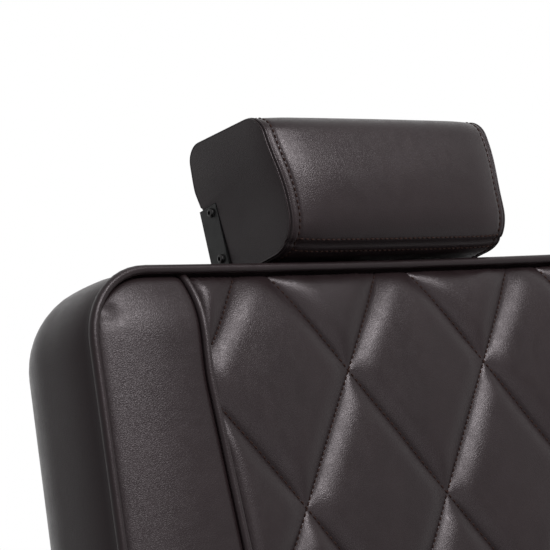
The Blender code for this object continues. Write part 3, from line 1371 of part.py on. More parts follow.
def build_headrest_mount(finish, slide):
    """Notched post, folded bracket, wooden batten and the screws through the bracket's ends."""
    place = (0.0, 0.0, -POST_FRONT)
    half = POST_WIDTH / 2
    top = BRACKET_BOTTOM - CLEARANCE
    bottom = top - POST_LENGTH
    outline = [(-half, top), (-half, bottom), (half, bottom)]
    pitch = HEAD_TRAVEL / POST_NOTCHES
    first = bottom + POST_FIRST_NOTCH
    for notch in range(POST_NOTCHES):
        at = first + notch * pitch
        outline += [(half, at), (half - POST_NOTCH, at), (half, at + POST_NOTCH)]
    outline.append((half, top))
    post = prism(outline, POST_FRONT - POST_THICKNESS, POST_FRONT, "Z")
    add_mesh("headrest_post", post, finish["chrome"], slide, place)

    wall_in = HEAD_HALF + 2 * CLEARANCE
    wall_out = wall_in + BRACKET_SHEET
    front = BRACKET_REAR + BRACKET_DEPTH
    rear_in = BRACKET_REAR + BRACKET_SHEET
    channel = [
        (-wall_out, front),
        (-wall_out, BRACKET_REAR),
        (wall_out, BRACKET_REAR),
        (wall_out, front),
        (wall_in, front),
        (wall_in, rear_in),
        (-wall_in, rear_in),
        (-wall_in, front),
    ]
    sheet = prism(channel, BRACKET_BOTTOM, BRACKET_BOTTOM + BRACKET_HEIGHT, "Y")
    bracket = add_mesh("headrest_bracket", sheet, finish["steel"], slide, place)
    inside = wall_out - BRACKET_SHEET / 2
    deep = (BRACKET_REAR + BRACKET_SHEET / 2, front - BRACKET_SHEET / 2)
    tray = box((-inside, inside), (BRACKET_BOTTOM, BRACKET_BOTTOM + BRACKET_SHEET), deep)
    combine(bracket, tray, "UNION")

    batten_low = BRACKET_BOTTOM + BRACKET_SHEET + CLEARANCE
    batten_top = BRACKET_BOTTOM + BRACKET_HEIGHT
    batten_half = wall_in - CLEARANCE
    batten = add_mesh(
        "headrest_batten",
        box((-batten_half, batten_half), (batten_low, batten_top), (rear_in + CLEARANCE, front)),
        finish["wood"],
        slide,
        place,
    )
    upper = batten_top - SCREW_FROM_TOP
    number = 0
    for v in (upper, upper - SCREW_SPACING):
        at = (v, BRACKET_REAR + SCREW_FROM_REAR)
        hole = SCREW_RADIUS + CLEARANCE
        combine(bracket, rod("X", at, hole, -wall_out - THROUGH, wall_out + THROUGH, 12))
        for side in (-1, 1):
            number += 1
            outside = side * (wall_out + CLEARANCE)
            tip = side * (wall_out - SCREW_LENGTH)
            well = sorted((tip - side * CLEARANCE, side * (wall_out + THROUGH)))
            combine(batten, rod("X", at, hole, *well, steps=12))
            shank = sorted((tip, outside + side * SCREW_HEAD / 2))
            pin = rod("X", at, SCREW_RADIUS, *shank, steps=12)
            screw = add_mesh(f"headrest_screw_{number}", pin, finish["screw"], slide, place)
            head = sorted((outside, outside + side * SCREW_HEAD))
            combine(screw, rod("X", at, SCREW_HEAD_RADIUS, *head, steps=16), "UNION")


def headrest_profile():
    """End view of the headrest as (n, v, swell) points, with the notch for the batten behind it."""
    notch_front = BRACKET_REAR + BRACKET_DEPTH + CLEARANCE
    notch_top = BRACKET_BOTTOM + BRACKET_HEIGHT + CLEARANCE
    outer = rounded(
        [
            (notch_front, HEAD_BOTTOM, 0.0),
            (HEAD_FRONT - HEAD_CHIN_BACK, HEAD_BOTTOM, HEAD_CHIN_RADIUS),
            (HEAD_FRONT, HEAD_BOTTOM + HEAD_BELLY_UP, HEAD_BELLY_RADIUS),
            (HEAD_FRONT - HEAD_BROW_BACK, HEAD_TOP - HEAD_BROW_DOWN, HEAD_BROW_RADIUS),
            (HEAD_REAR, HEAD_TOP + HEAD_CREST_UP, HEAD_CREST_RADIUS),
            (HEAD_REAR, notch_top, 0.0),
        ],
        4,
        closed=False,
    )
    profile = []
    for n, v in outer:
        swell = quarter((v - HEAD_BOTTOM) / HEAD_CROWN_RUN) * quarter((n - HEAD_REAR) / HEAD_CROWN_RUN)
        profile.append((n, v, swell))
    profile.append((notch_front, notch_top, 0.0))
    return profile


def build_headrest_cushion(finish, slide):
    """Upholstered block, crowned between its flat ends."""
    profile = headrest_profile()
    middle = Vector((HEAD_MIDDLE, (HEAD_BOTTOM + HEAD_TOP) / 2))
    rings = []
    bm = bmesh.new()
    for share in (-1.0, -0.94, -0.8, -0.5, 0.0, 0.5, 0.8, 0.94, 1.0):
        crown = HEAD_CROWN * quarter((1.0 - abs(share)) * 1.6)
        ring = []
        for n, v, swell in profile:
            out = (Vector((n, v)) - middle).normalized() * crown * swell
            ring.append(bm.verts.new((share * HEAD_HALF, v + out.y, n + out.x)))
        rings.append(ring)
    for near, far in zip(rings, rings[1:]):
        for index in range(len(profile)):
            after = (index + 1) % len(profile)
            bm.faces.new((near[index], near[after], far[after], far[index]))
    bm.faces.new(rings[0])
    bm.faces.new(rings[-1])
    add_mesh("headrest_cushion", bm, finish["leather"], slide, (0.0, 0.0, -POST_FRONT), 50)


def build_chair():
    """All sub-parts, each under the frame of the joint that moves it."""
    clear_scene()
    finish = make_materials()
    floor = make_empty("floor_frame")
    pedal = make_empty("pedal_axis", floor, (PEDAL_PIVOT[0], 0.0, PEDAL_PIVOT[1]))
    lift = make_empty("lift_axis", floor)
    swivel = make_empty("swivel_axis", lift)
    lock_slide = make_empty("lock_axis", swivel, (0.0, lock_pin_y(), RAIL_MIDDLE))
    release = make_empty("release_axis", swivel, (0.0, LEVER_Y, RAIL_MIDDLE))
    foot = make_empty("foot_axis", swivel, (0.0, *axle_place()))
    hinge = make_empty("recline_axis", swivel, (0.0, PIVOT_Y, PIVOT_Z), math.pi / 2 - RECLINE)
    head_slide = make_empty("headrest_axis", hinge, BACK_ORIGIN + Vector((0.0, 0.0, POST_FRONT)))

    build_base(finish, floor)
    build_pump(finish, floor)
    build_pedal(finish, pedal)
    build_lift(finish, lift)
    build_column(finish, swivel)
    build_frame(finish, swivel)
    build_hinge_bolts(finish, swivel)
    build_lock(finish, swivel, lock_slide)
    build_release(finish, release)
    build_seat(finish, swivel)
    build_arms(finish, swivel)
    build_footrest(finish, swivel)
    build_foot_plate(finish, foot)
    build_back_frame(finish, hinge)
    build_back_cushion(finish, hinge)
    build_socket(finish, hinge)
    build_headrest_mount(finish, head_slide)
    build_headrest_cushion(finish, head_slide)


build_chair()
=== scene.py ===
"""Looks of a hydraulic reclining barber chair: upholstery, finishes, fasteners and a plain studio.

The file is laid out as an add-on and run as a script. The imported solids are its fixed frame, in metres.
A cushion is made in its own frame: X across (u), Y along its face (v), Z out of its face (n), with the
middle of its piping at n = 0. Outlines are lists of corners (a, b, radius), counter-clockwise.
"""

import json
import math

import bmesh
import bpy
import numpy as np
from bpy.props import FloatProperty, FloatVectorProperty, PointerProperty
from mathutils import Matrix, Vector, noise
from mathutils.bvhtree import BVHTree

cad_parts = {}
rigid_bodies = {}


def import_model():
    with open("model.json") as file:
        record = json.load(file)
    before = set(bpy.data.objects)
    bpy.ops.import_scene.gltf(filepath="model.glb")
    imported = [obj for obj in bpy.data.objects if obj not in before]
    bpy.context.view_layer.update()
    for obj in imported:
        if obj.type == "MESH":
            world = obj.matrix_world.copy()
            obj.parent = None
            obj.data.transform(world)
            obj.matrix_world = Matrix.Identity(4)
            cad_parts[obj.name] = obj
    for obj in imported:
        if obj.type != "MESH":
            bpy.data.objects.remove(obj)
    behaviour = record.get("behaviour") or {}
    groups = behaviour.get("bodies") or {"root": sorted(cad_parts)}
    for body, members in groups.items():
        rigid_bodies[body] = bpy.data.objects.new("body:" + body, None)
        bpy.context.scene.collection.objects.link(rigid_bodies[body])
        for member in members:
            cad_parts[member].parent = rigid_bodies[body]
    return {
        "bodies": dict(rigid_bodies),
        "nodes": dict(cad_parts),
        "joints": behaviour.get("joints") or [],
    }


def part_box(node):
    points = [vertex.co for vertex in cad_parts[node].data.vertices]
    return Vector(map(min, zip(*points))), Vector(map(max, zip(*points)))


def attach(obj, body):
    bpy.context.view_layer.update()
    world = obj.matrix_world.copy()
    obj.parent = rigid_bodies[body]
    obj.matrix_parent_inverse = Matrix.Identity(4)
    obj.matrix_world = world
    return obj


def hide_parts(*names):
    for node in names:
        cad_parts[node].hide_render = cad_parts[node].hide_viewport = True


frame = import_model()
for startup_object in set(bpy.data.objects) - {*frame["nodes"].values(), *frame["bodies"].values()}:
    bpy.data.objects.remove(startup_object)
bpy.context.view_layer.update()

bl_info = {
    "name": "Barber Chair Looks",
    "version": (1, 0, 0),
    "blender": (4, 5, 0),
    "location": "View3D > Sidebar > Chair",
    "description": "Upholstery, finishes, fasteners and studio of a reclining barber chair",
    "category": "Object",
}

# Outline of the backrest at its piping, in its own frame
BACK_LENGTH = 0.580
BACK_HALF_TOP = 0.290
BACK_HALF_WIDEST = 0.317
BACK_WIDEST_V = -0.330
BACK_HALF_BOTTOM = 0.298
BACK_CORNER_TOP = 0.058
BACK_CORNER_BOTTOM = 0.060
BACK_WAIST_RADIUS = 0.500
BACK_BOW = 0.008  # the sides come forward by this much at the half width of the top
BACK_DEPTH = 0.110  # piping to the rear of the cushion

# Outline of the seat at its piping
SEAT_HALF_FRONT = 0.280
SEAT_HALF_REAR = 0.274
SEAT_FRONT = -0.290
SEAT_REAR = 0.222
SEAT_CORNER_FRONT = 0.060
SEAT_CORNER_REAR = 0.040

# Quilting
QUILT_TOP = 0.082  # piping at the head of a cushion to the first row of crossings
INNER_SEAM = 0.1995  # cushion's middle to the seam between quilting and side strip
LATTICE_STEPS = 36  # mesh steps along one side of a diamond, closest beside the sewn lines
MERGE = 0.00005  # mesh points closer together than this become one
PANEL_EDGE = -0.006  # panel's edge, tucked in behind the piping's middle
PANEL_INSET = 1.15  # piping's middle to a panel's edge, in radii of the piping
PANEL_DEPTH = -0.013  # where the panels end, hidden behind the piping
EDGE_RISE = 0.0030  # how far a panel stands up at once beside the piping
EDGE_RUN = 0.006
CREASE_WIDTH = 0.0013  # half width of the crease along a sewn line
QUILT_FADE = 0.020  # run over which the diamonds grow from the edge
SEAM_FADE = 0.011  # and from the inner seams
SLACK = 0.0006  # unevenness of the quilting, and how far apart its waves are
SLACK_SIZE = 0.045
SEWN_END = 0.009  # sewn lines stop this far from the head and foot
SEWN_SIDE = 0.005  # and from the inner seams
SEWN_STEP = 0.008  # step along a sewn line, in diamonds
SEAM_HALF = 0.0022  # inner seam's middle to the edge of a panel beside it
SEAM_LEAN = 0.004  # how far the inner seams spread at their ends
LEAN_RUN = 0.030
SEAM_BOW = 0.0055  # how far they spread along the middle of the cushion
BOW_START = 0.030  # distances from the cushion's head or foot between which they do
BOW_END = 0.090
SPREAD_START = 0.150  # the quilting is drawn out to the inner seams from here
SEAM_POINTS = 180

# Side strips
STRIP_BULGE = 0.0028  # how steeply a strip's edge stands up beside the piping
BULGE_RUN = 0.007
STRIP_HEAD_ROLL = 0.050  # run over which it rises from the head or foot of the cushion
STRIP_ROLL = 0.075  # run over which a strip rises from its outer edge
STRIP_EDGE = 0.011  # run of its rounded edge at the inner seam
STRIP_TUCK = 0.0015  # how far below the piping that edge starts
STRIP_ROWS = 120
STRIP_COLUMNS = 30
PUCKER = (-0.277, -0.030)  # where the left strip is drawn in near its upper corner
PUCKER_DEPTH = 0.0028
PUCKER_WIDTH = 0.007

# Boxing of the cushions and rear of the back
LIP = ((-0.0065, -0.0120), (-0.0022, -0.0050), (-0.0006, -0.0030), (-0.0014, -0.0048))  # front, (out, n)
SIDE_START = -0.0055  # n of the groove behind the piping
SHELL_CORNER = 0.034  # least radius of a shell's corners
SIDE_SLACK = 0.0006  # unevenness of the boxing, and how far apart its waves are
SIDE_SLACK_SIZE = 0.080
BACK_GROOVE = -0.0036  # how far in the groove is
BACK_BULGE = 0.0062  # how far the boxing swells out behind it
BACK_BULGE_RUN = 0.012
BACK_SIDE_END = -0.050  # where the boxing rounds over to the rear
BACK_ROUND = 0.055  # how far in that rounding goes
BACK_SIDE_STEPS = 14
BACK_ROUND_STEPS = 16
REAR_SHARES = (0.97, 0.945, 0.93, 0.92, 0.91, 0.90, 0.88, 0.84, 0.77, 0.66, 0.5, 0.3, 0.1)
REAR_CROWN = 0.0045  # how far the rear panel swells out
REAR_SEAM = 0.92  # seam round it, as a share of the way out from its middle
REAR_SEAM_WIDTH = 0.009
REAR_SEAM_DEPTH = 0.0022
REAR_STITCHES = 0.895
SEAT_GROOVE = -0.0014
SEAT_BULGE = 0.0062
SEAT_TUCK = 0.004  # how far the seat's boxing is drawn in at the board
SEAT_STEPS = 18
SEAT_UNDER = 0.0012  # thickness of the leather under the board
SEAT_UNDER_OUT = (-0.0105, -0.018)
SEAT_BOARD_SHOWS = 0.0016

# Headrest, in the backrest's frame
HEAD_HALF = 0.1106
HEAD_BOTTOM = 0.0100
HEAD_TOP = 0.1175
HEAD_FRONT = 0.0232
HEAD_REAR = -0.0760
HEAD_NOTCH_FRONT = -0.0532
HEAD_NOTCH_TOP = 0.0703
HEAD_PROFILE = (  # end view as (n, v, radius), from the lower notch round to the upper one
    (HEAD_NOTCH_FRONT, HEAD_BOTTOM, 0.0),
    (HEAD_FRONT - 0.0008, HEAD_BOTTOM + 0.0006, 0.026),
    (HEAD_FRONT + 0.0020, HEAD_BOTTOM + 0.050, 0.280),
    (HEAD_FRONT - 0.0045, HEAD_TOP - 0.0032, 0.019),
    (HEAD_REAR + 0.0060, HEAD_TOP + 0.0030, 0.014),
    (HEAD_REAR + 0.0030, HEAD_TOP - 0.0320, 0.016),
    (HEAD_REAR + 0.0045, HEAD_NOTCH_TOP, 0.0),
)
HEAD_PROFILE_POINTS = 150
HEAD_ARC_STEPS = 10
HEAD_FLARE = 0.0045  # how much further out an end panel is at its top
FLARE_START = 0.045  # heights between which it spreads
FLARE_RUN = 0.050
HEAD_BAND = 0.0080  # end seam to its row of stitches
BAND_PUFF = 0.0030  # swelling between them
FRONT_PUFF = 0.0018  # further swelling beyond the stitches
FRONT_PUFF_RUN = 0.024
MIDDLE_PUFF = 0.0008  # and towards the middle
ROW_DEPTH = 0.0009  # how far the row of stitches draws the leather in
ROW_WIDTH = 0.0013
END_SEAM_DEPTH = 0.0010
END_SEAM_WIDTH = 0.0010
FOOT_RUN = 0.014  # runs over which the swelling starts from the foot and the rear
FOOT_START = 0.0020
REAR_RUN = 0.030
TOP_FLATNESS = 0.8  # share of the swelling that the top lacks
HEAD_CROWN = 0.0042  # how far the front swells out halfway up
CROWN_TOP = HEAD_TOP - 0.0032
HEAD_CHIN_SEAM = 0.0158  # height of the seam along the front's lower edge
HEAD_CHIN_ROWS = 0.0027  # from that seam to the rows of stitches beside it
CHIN_DEPTH = 0.0013
CHIN_WIDTH = 0.0009
CHIN_ZONE = 0.05  # height below which the front has that seam
END_MIDDLE = (0.080, -0.005)  # middle of an end panel, as (v, n)
END_SHARES = (0.04, 0.2, 0.4, 0.6, 0.78, 0.9, 0.96, 0.99)
END_CROWN = 0.0010
STATIONS_IN_BAND = (0.0, 0.0005, 0.0011, 0.0020, 0.0032, 0.0046)
STATIONS_AT_ROW = (-0.0014, -0.0007, 0.0, 0.0007, 0.0014, 0.0026, 0.0045)
STATIONS_INSIDE = (0.0150, 0.0180, 0.0215, 0.026, 0.031, 0.038, 0.047, 0.058, 0.071, 0.085, 0.1)
LIP_INSETS = (("outer", 0.0006), ("inner", 0.0021))  # folded edges of the end seams
LIP_RADIUS = 0.0009
SCREW_RADIUS = 0.0036
SCREW_HEIGHT = 0.0024

# Pads of the arms and the legrest
PAD_LESS = 0.0035  # how much smaller a pad is sewn than it ends up
PAD_HELD = 0.006  # height up to which its cover is held down
PAD_SWELL = 0.006  # most that it may swell
PAD_CORNER = 0.006  # least radius of its corners
PAD_CLEAR = 0.003  # how far its outline lies inside its space
ARM_PAD_CORNER = 0.032
CALF_PAD_CORNER = 0.030
PAD_PIPING = 0.0024
PAD_PIPING_LIFT = 0.0004
PAD_SHOULDER = 0.70  # height of the piping, as a share of the pad's
PAD_REACH = 0.02  # how far outside and inside the outline the piping's place is looked for
PAD_SEWN = -0.009  # row of stitches inside the outline
PAD_VOXEL = 0.005
PAD_PRESSURE = 4.0
PAD_QUALITY = 6
PAD_FRAMES = 20

# Bolts of the arms
ARM_LUG_FRONT = -0.140  # where the lugs of the arms meet the rails
ARM_LUG_REAR = 0.110
ARM_LUG_LEVEL = 0.020  # over the rails' undersides
ARM_BOLT = (0.0085, 0.0065, 0.0115)  # radius and height of the head, radius of the washer

# Finishes
BARE_STEEL = (0.30, 0.30, 0.31, 1.0)
LEATHER_GLINT = (1.0, 0.91, 0.95, 1.0)
LEATHERS = {  # stretch of the grain, across and along
    "espresso_leather": (1.2, 0.8),
    "espresso_leather_crosswise": (0.65, 1.25),
}
PLYWOODS = {"birch_plywood": "plywood", "black_plywood": "screw"}
SURFACES = {
    "brown_thread": dict(
        colour="thread", metallic=0.0, specular=0.1, tones=(0.7, 1.25), roughness=(0.7, 0.85),
        fine=2600.0, relief=(0.4, 0.0002), patches=120.0,
    ),
    "satin_powder_coat": dict(
        colour="powder_coat", metallic=0.0, specular=0.2, tones=(0.85, 1.2), roughness=(0.36, 0.5),
        fine=1100.0, relief=(0.12, 0.0003), worn=0.18,
    ),
    "black_oxide_steel": dict(
        colour="screw", metallic=0.6, specular=0.2, tones=(0.85, 1.2), roughness=(0.20, 0.32),
        fine=1600.0, relief=(0.12, 0.0003), worn=0.5,
    ),
    "bright_chrome": dict(
        colour="chrome", metallic=1.0, specular=0.3, tones=(0.98, 1.02), roughness=(0.06, 0.09),
        fine=700.0, relief=(0.02, 0.0001),
    ),
    "painted_cast_iron": dict(
        colour="iron", metallic=0.0, specular=0.3, tones=(0.86, 1.15), roughness=(0.45, 0.58),
        fine=420.0, relief=(0.05, 0.0003),
    ),
    "moulded_rubber": dict(
        colour="rubber", metallic=0.0, specular=0.3, tones=(0.86, 1.15), roughness=(0.62, 0.82),
        fine=1300.0, relief=(0.25, 0.0004),
    ),
}
NODE_FINISHES = {
    "satin_powder_coat": (
        "base_dome pump_jacket pedal_arm seat_mount rail_left rail_right front_crossmember rear_crossmember"
        " lock_cylinder arm_frame_left arm_frame_right foot_strut_left foot_strut_right release_lever"
        " foot_plate hinge_arm_left hinge_arm_right back_crossbar headrest_socket headrest_bracket"
    ),
    "bright_chrome": "pump_gland thrust_bearing lift_ram column_sleeve foot_axle lock_rod headrest_post",
    "painted_cast_iron": "base_casting lift_piston",
    "moulded_rubber": "base_gasket foot_tread",
    "birch_plywood": "seat_board",
    "black_plywood": "headrest_batten calf_board",
    "black_oxide_steel": "pedal_pin hinge_bolt_left hinge_bolt_right",
}
WELD = 0.00002
BROKEN_EDGE = 0.0007
CRISP_FOLD = math.radians(35)
BROKEN_FOLD = math.radians(40)

# Studio
SOFTBOX_TARGET = Vector((0.0, 0.40, 1.0))
SOFTBOX_DISTANCE = 2.2
SENSOR_WIDTH = 36.0
FLOOR_RADIUS = 4.0
FLOOR_LEVEL = -0.0005
FLOOR_SIDES = 96
FLOOR_GLOW = 0.5
WHITE = (1.0, 1.0, 1.0, 1.0)

UP = Vector((0.0, 0.0, 1.0))
ACROSS = Vector((1.0, 0.0, 0.0))
HANDS = (("left", -1), ("right", 1))
JOINTS = {joint["name"]: joint for joint in frame["joints"]}


def length_prop(label, about, size):
    """Property for a size."""
    return FloatProperty(name=label, description=about, default=size, unit="LENGTH")


def colour_prop(label, about, shade):
    """Property for a linear colour."""
    return FloatVectorProperty(name=label, description=about, default=shade, subtype="COLOR")


def angle_prop(label, about, degrees):
    """Property for an angle."""
    return FloatProperty(name=label, description=about, default=math.radians(degrees), subtype="ANGLE")


def power_prop(label, about, watts):
    """Property for a lamp."""
    return FloatProperty(name=label, description=about, default=watts, unit="POWER")


class ChairUpholstery(bpy.types.PropertyGroup):
    """Sizes of the sewn work."""

    cell_width: length_prop("Diamond width", "Sewn diamond from side to side", 0.139)
    cell_height: length_prop("Diamond height", "Sewn diamond from top to bottom", 0.199)
    pillow: length_prop("Pillow", "Rise of a diamond over its sewn lines", 0.0050)
    flank: length_prop("Flank", "Run from a sewn line to the flat of its diamond", 0.020)
    swell: length_prop("Swell", "Further rise at the middle of a diamond", 0.0022)
    crease: length_prop("Crease", "Depth that the thread pulls a sewn line in", 0.0005)
    quilt_rise: length_prop("Quilt rise", "Rise of the sewn lines from the edge inwards", 0.0085)
    seam_rise: length_prop("Seam rise", "Rise of the inner seams' piping from the edge inwards", 0.0132)
    strip_rise: length_prop("Strip rise", "Rise of the side strips from the edge inwards", 0.0115)
    rim_roll: length_prop("Rim roll", "Run from the edge to the full height", 0.050)
    piping: length_prop("Piping", "Radius of the piping cords", 0.0035)
    stitch_pitch: length_prop("Stitch pitch", "From one stitch to the next", 0.0048)
    stitch_length: length_prop("Stitch length", "Visible length of a stitch", 0.0034)
    thread: length_prop("Thread", "Radius of the sewing thread", 0.0006)


class ChairColours(bpy.types.PropertyGroup):
    """Colours of the finishes, linear."""

    leather: colour_prop("Leather", "Upholstery", (0.0108, 0.0068, 0.0074))
    thread: colour_prop("Thread", "Sewing thread", (0.024, 0.0115, 0.009))
    powder_coat: colour_prop("Powder coat", "Steel frame", (0.0110, 0.0110, 0.0113))
    chrome: colour_prop("Chrome", "Column and axle", (0.62, 0.62, 0.63))
    iron: colour_prop("Cast iron", "Floor plate", (0.0150, 0.0150, 0.0154))
    rubber: colour_prop("Rubber", "Pads and edging", (0.013, 0.013, 0.013))
    plywood: colour_prop("Plywood", "Boards in the cushions", (0.42, 0.29, 0.17))
    screw: colour_prop("Blackened steel", "Screws and bolts", (0.024, 0.023, 0.023))


class ChairStudio(bpy.types.PropertyGroup):
    """Camera and light."""

    lens: FloatProperty(name="Lens", description="Focal length", default=152.4, subtype="DISTANCE_CAMERA")
    place: FloatVectorProperty(
        name="Camera",
        description="Place of the camera",
        default=(-1.1961, -0.9079, 1.0917),
        subtype="TRANSLATION",
    )
    yaw: angle_prop("Yaw", "Heading, clockwise from +Y", 39.0)
    pitch: angle_prop("Pitch", "How far the camera looks down", 2.3)
    front_power: power_prop("Front softbox", "Power of the wide light above the front", 21.0)
    side_power: power_prop("Side softbox", "Power of the small light above the front, to the right", 38.0)
    low_power: power_prop("Low softbox", "Power of the light in front of the back", 6.0)
    fill: FloatProperty(name="Fill", description="Strength of the even light from all round", default=0.20)


def reach(node, direction):
    """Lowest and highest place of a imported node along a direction."""
    places = [vertex.co.dot(direction) for vertex in frame["nodes"][node].data.vertices]
    return min(places), max(places)


def face_frame(origin, up, out):
    """Matrix of a cushion's own frame."""
    turned = Matrix((ACROSS, up, out)).transposed().to_4x4()
    return Matrix.Translation(origin) @ turned


def back_frame(piping):
    """Frame of the backrest: from the middle of its top edge, up along the back and out of its front."""
    up = Vector(JOINTS["headrest_slide"]["axis"]).normalized()
    out = ACROSS.cross(up)
    top = reach("back_welt", up)[1] - piping
    front = reach("back_welt", out)[0] + piping
    return face_frame(up * top + out * front, up, out)


def seat_frame(piping):
    """Frame of the seat: over the column, to the rear and up."""
    return face_frame(UP * (reach("seat_welt", UP)[0] + piping), Vector((0.0, 1.0, 0.0)), UP)


def ease(value):
    """Rise from 0 that starts straight and levels out at 1."""
    return 1.0 - (1.0 - np.clip(value, 0.0, 1.0)) ** 2


def quarter(value):
    """Rise of a quarter circle from 0 to 1."""
    return np.sqrt(1.0 - (1.0 - np.clip(value, 0.0, 1.0)) ** 2)


def smooth(value):
    """Rise from 0 to 1 that is level at both ends."""
    share = np.clip(value, 0.0, 1.0)
    return share**2 * (3.0 - 2.0 * share)


def crowded(step, steps):
    """Share of a length at one of its steps, which are closer together at both ends."""
    return (1.0 - np.cos(math.pi * step / steps)) / 2


def groove(distance, width):
    """Bell of height 1 about a line."""
    return np.exp(-((distance / width) ** 2))


def unit(rows):
    """Rows of vectors brought to length 1."""
    return rows / np.linalg.norm(rows, axis=1)[:, None]


def run_along(points):
    """Distance along a path at each of its points."""
    steps = np.linalg.norm(np.diff(points, axis=0), axis=1)
    return np.concatenate(([0.0], np.cumsum(steps)))


def turns(sides):
    """Even angles round a circle."""
    return np.arange(sides) * 2 * math.pi / sides


def cluster(step):
    """Diagonal coordinate of a mesh step, closer together beside the whole numbers."""
    whole, part = divmod(step, LATTICE_STEPS)
    return whole + (1.0 - math.cos(math.pi * part / LATTICE_STEPS)) / 2


def wander(points, size, seed):
    """Slow irregularity between -1 and 1 at each point."""
    shift = Vector((seed * 7.3, seed * 3.1, seed * 5.7))
    return np.array([noise.noise(Vector(point) / size + shift) for point in points])


def rectangle(half_width, half_length, radius):
    """Corners of a rectangle about the origin."""
    signs = ((1, 1), (-1, 1), (-1, -1), (1, -1))
    return [(a * half_width, b * half_length, radius) for a, b in signs]


def moved_corners(corners, distance, least):
    """Corners of an outline moved outwards, with radii to match but never under the least."""
    moved = []
    for index, (a, b, radius) in enumerate(corners):
        here = Vector((a, b))
        along_in = (here - Vector(corners[index - 1][:2])).normalized()
        along_out = (Vector(corners[(index + 1) % len(corners)][:2]) - here).normalized()
        out_in = Vector((along_in.y, -along_in.x))
        out_out = Vector((along_out.y, -along_out.x))
        middle = (out_in + out_out).normalized()
        place = here + middle * (distance / middle.dot(out_in))
        moved.append((place.x, place.y, max(radius + distance, least)))
    return moved


def corner_arc(corners, index, steps):
    """Points of the arc that rounds one corner of an outline."""
    a, b, radius = corners[index]
    here = Vector((a, b))
    before = (Vector(corners[index - 1][:2]) - here).normalized()
    after = (Vector(corners[(index + 1) % len(corners)][:2]) - here).normalized()
    half = before.angle(after) / 2
    centre = here + (before + after).normalized() * (radius / math.sin(half))
    first = here + before * (radius / math.tan(half)) - centre
    turn = first.angle_signed(here + after * (radius / math.tan(half)) - centre)
    start = math.atan2(first.y, first.x)
    angles = [start - turn * step / steps for step in range(steps + 1)]
    return [centre + Vector((math.cos(angle), math.sin(angle))) * radius for angle in angles]


def outline_ring(corners, offset=0.0, least=0.002, arc_steps=12, spacing=0.008):
    """Closed outline moved outwards, with as many points at any offset."""
    count = len(corners)
    moved = moved_corners(corners, offset, least)
    arcs = [corner_arc(moved, index, arc_steps) for index in range(count)]
    still = [corner_arc(corners, index, arc_steps) for index in range(count)]
    ring = []
    for index in range(count):
        following = (index + 1) % count
        pieces = max(1, round((still[following][0] - still[index][-1]).length / spacing))
        start = arcs[index][-1]
        end = arcs[following][0]
        ring += arcs[index]
        ring += [start.lerp(end, step / pieces) for step in range(1, pieces)]
    return np.array([tuple(point) for point in ring])


def edge_distance(u, v, outline):
    """How far points lie inside a convex outline of points."""
    along = unit(np.roll(outline, -1, axis=0) - outline)
    off = along[:, 0] * (v[:, None] - outline[:, 1]) - along[:, 1] * (u[:, None] - outline[:, 0])
    return off.min(axis=1)


def finished_mesh(bm):
    """Turn a shape's faces outwards and make it a smooth mesh."""
    bmesh.ops.recalc_face_normals(bm, faces=bm.faces)
    mesh = bpy.data.meshes.new("shape")
    bm.to_mesh(mesh)
    bm.free()
    mesh.shade_smooth()
    return mesh


def add_piece(name, data, matrix, body, finish, replaced=()):
    """Put a finished piece in the scene on the body that carries it."""
    data.name = name
    data.materials.append(finish_material(finish))
    piece = bpy.data.objects.new(name, data)
    bpy.context.scene.collection.objects.link(piece)
    piece.matrix_world = matrix
    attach(piece, body)
    if replaced:
        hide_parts(*replaced)


def loft(rings, closed=True):
    """Closed shape through rings of equal count, with flat ends or joined into a loop."""
    bm = bmesh.new()
    rows = [[bm.verts.new(point) for point in ring] for ring in rings]
    count = len(rows[0])
    pairs = list(zip(rows, rows[1:]))
    if not closed:
        pairs.append((rows[-1], rows[0]))
    for near, far in pairs:
        for index in range(count):
            after = (index + 1) % count
            bm.faces.new((near[index], near[after], far[after], far[index]))
    if closed:
        bm.faces.new(rows[0])
        bm.faces.new(rows[-1])
    return finished_mesh(bm)


def tube(points, radius, cyclic, reference, sides=12):
    """Round cord along a path whose bends lie mostly across a reference direction."""
    path = np.array(points, float)
    if cyclic:
        along = unit(np.roll(path, -1, axis=0) - np.roll(path, 1, axis=0))
    else:
        along = unit(np.gradient(path, axis=0))
    side = unit(np.cross(along, np.array(reference, float)))
    over = np.cross(side, along)
    cos = np.cos(turns(sides))[:, None]
    sin = np.sin(turns(sides))[:, None]
    rings = [place + radius * (cos * left + sin * top) for place, left, top in zip(path, side, over)]
    return loft(rings, closed=not cyclic)


def round_rings(sections, sides):
    """Rings about Z from pairs of radius and height. A radius may differ from point to point."""
    angles = turns(sides)
    return [np.column_stack((r * np.cos(angles), r * np.sin(angles), np.full(sides, z))) for r, z in sections]


def hexagon(radius, sides):
    """Distance of a hexagon's outline from its middle, at even angles."""
    return radius * math.cos(math.pi / 6) / np.cos((turns(sides) % (math.pi / 3)) - math.pi / 6)


def spaced(path, pitch):
    """Places, directions and normals at even steps along a path of points with normals."""
    points = np.array([point for point, _ in path], float)
    normals = np.array([normal for _, normal in path], float)
    run = run_along(points)
    at = np.arange(pitch / 2, run[-1], pitch)

    def read(rows, where):
        return np.stack([np.interp(where, run, rows[:, axis]) for axis in range(3)], axis=1)

    along = read(points, at + pitch / 4) - read(points, at - pitch / 4)
    return read(points, at), along, read(normals, at)


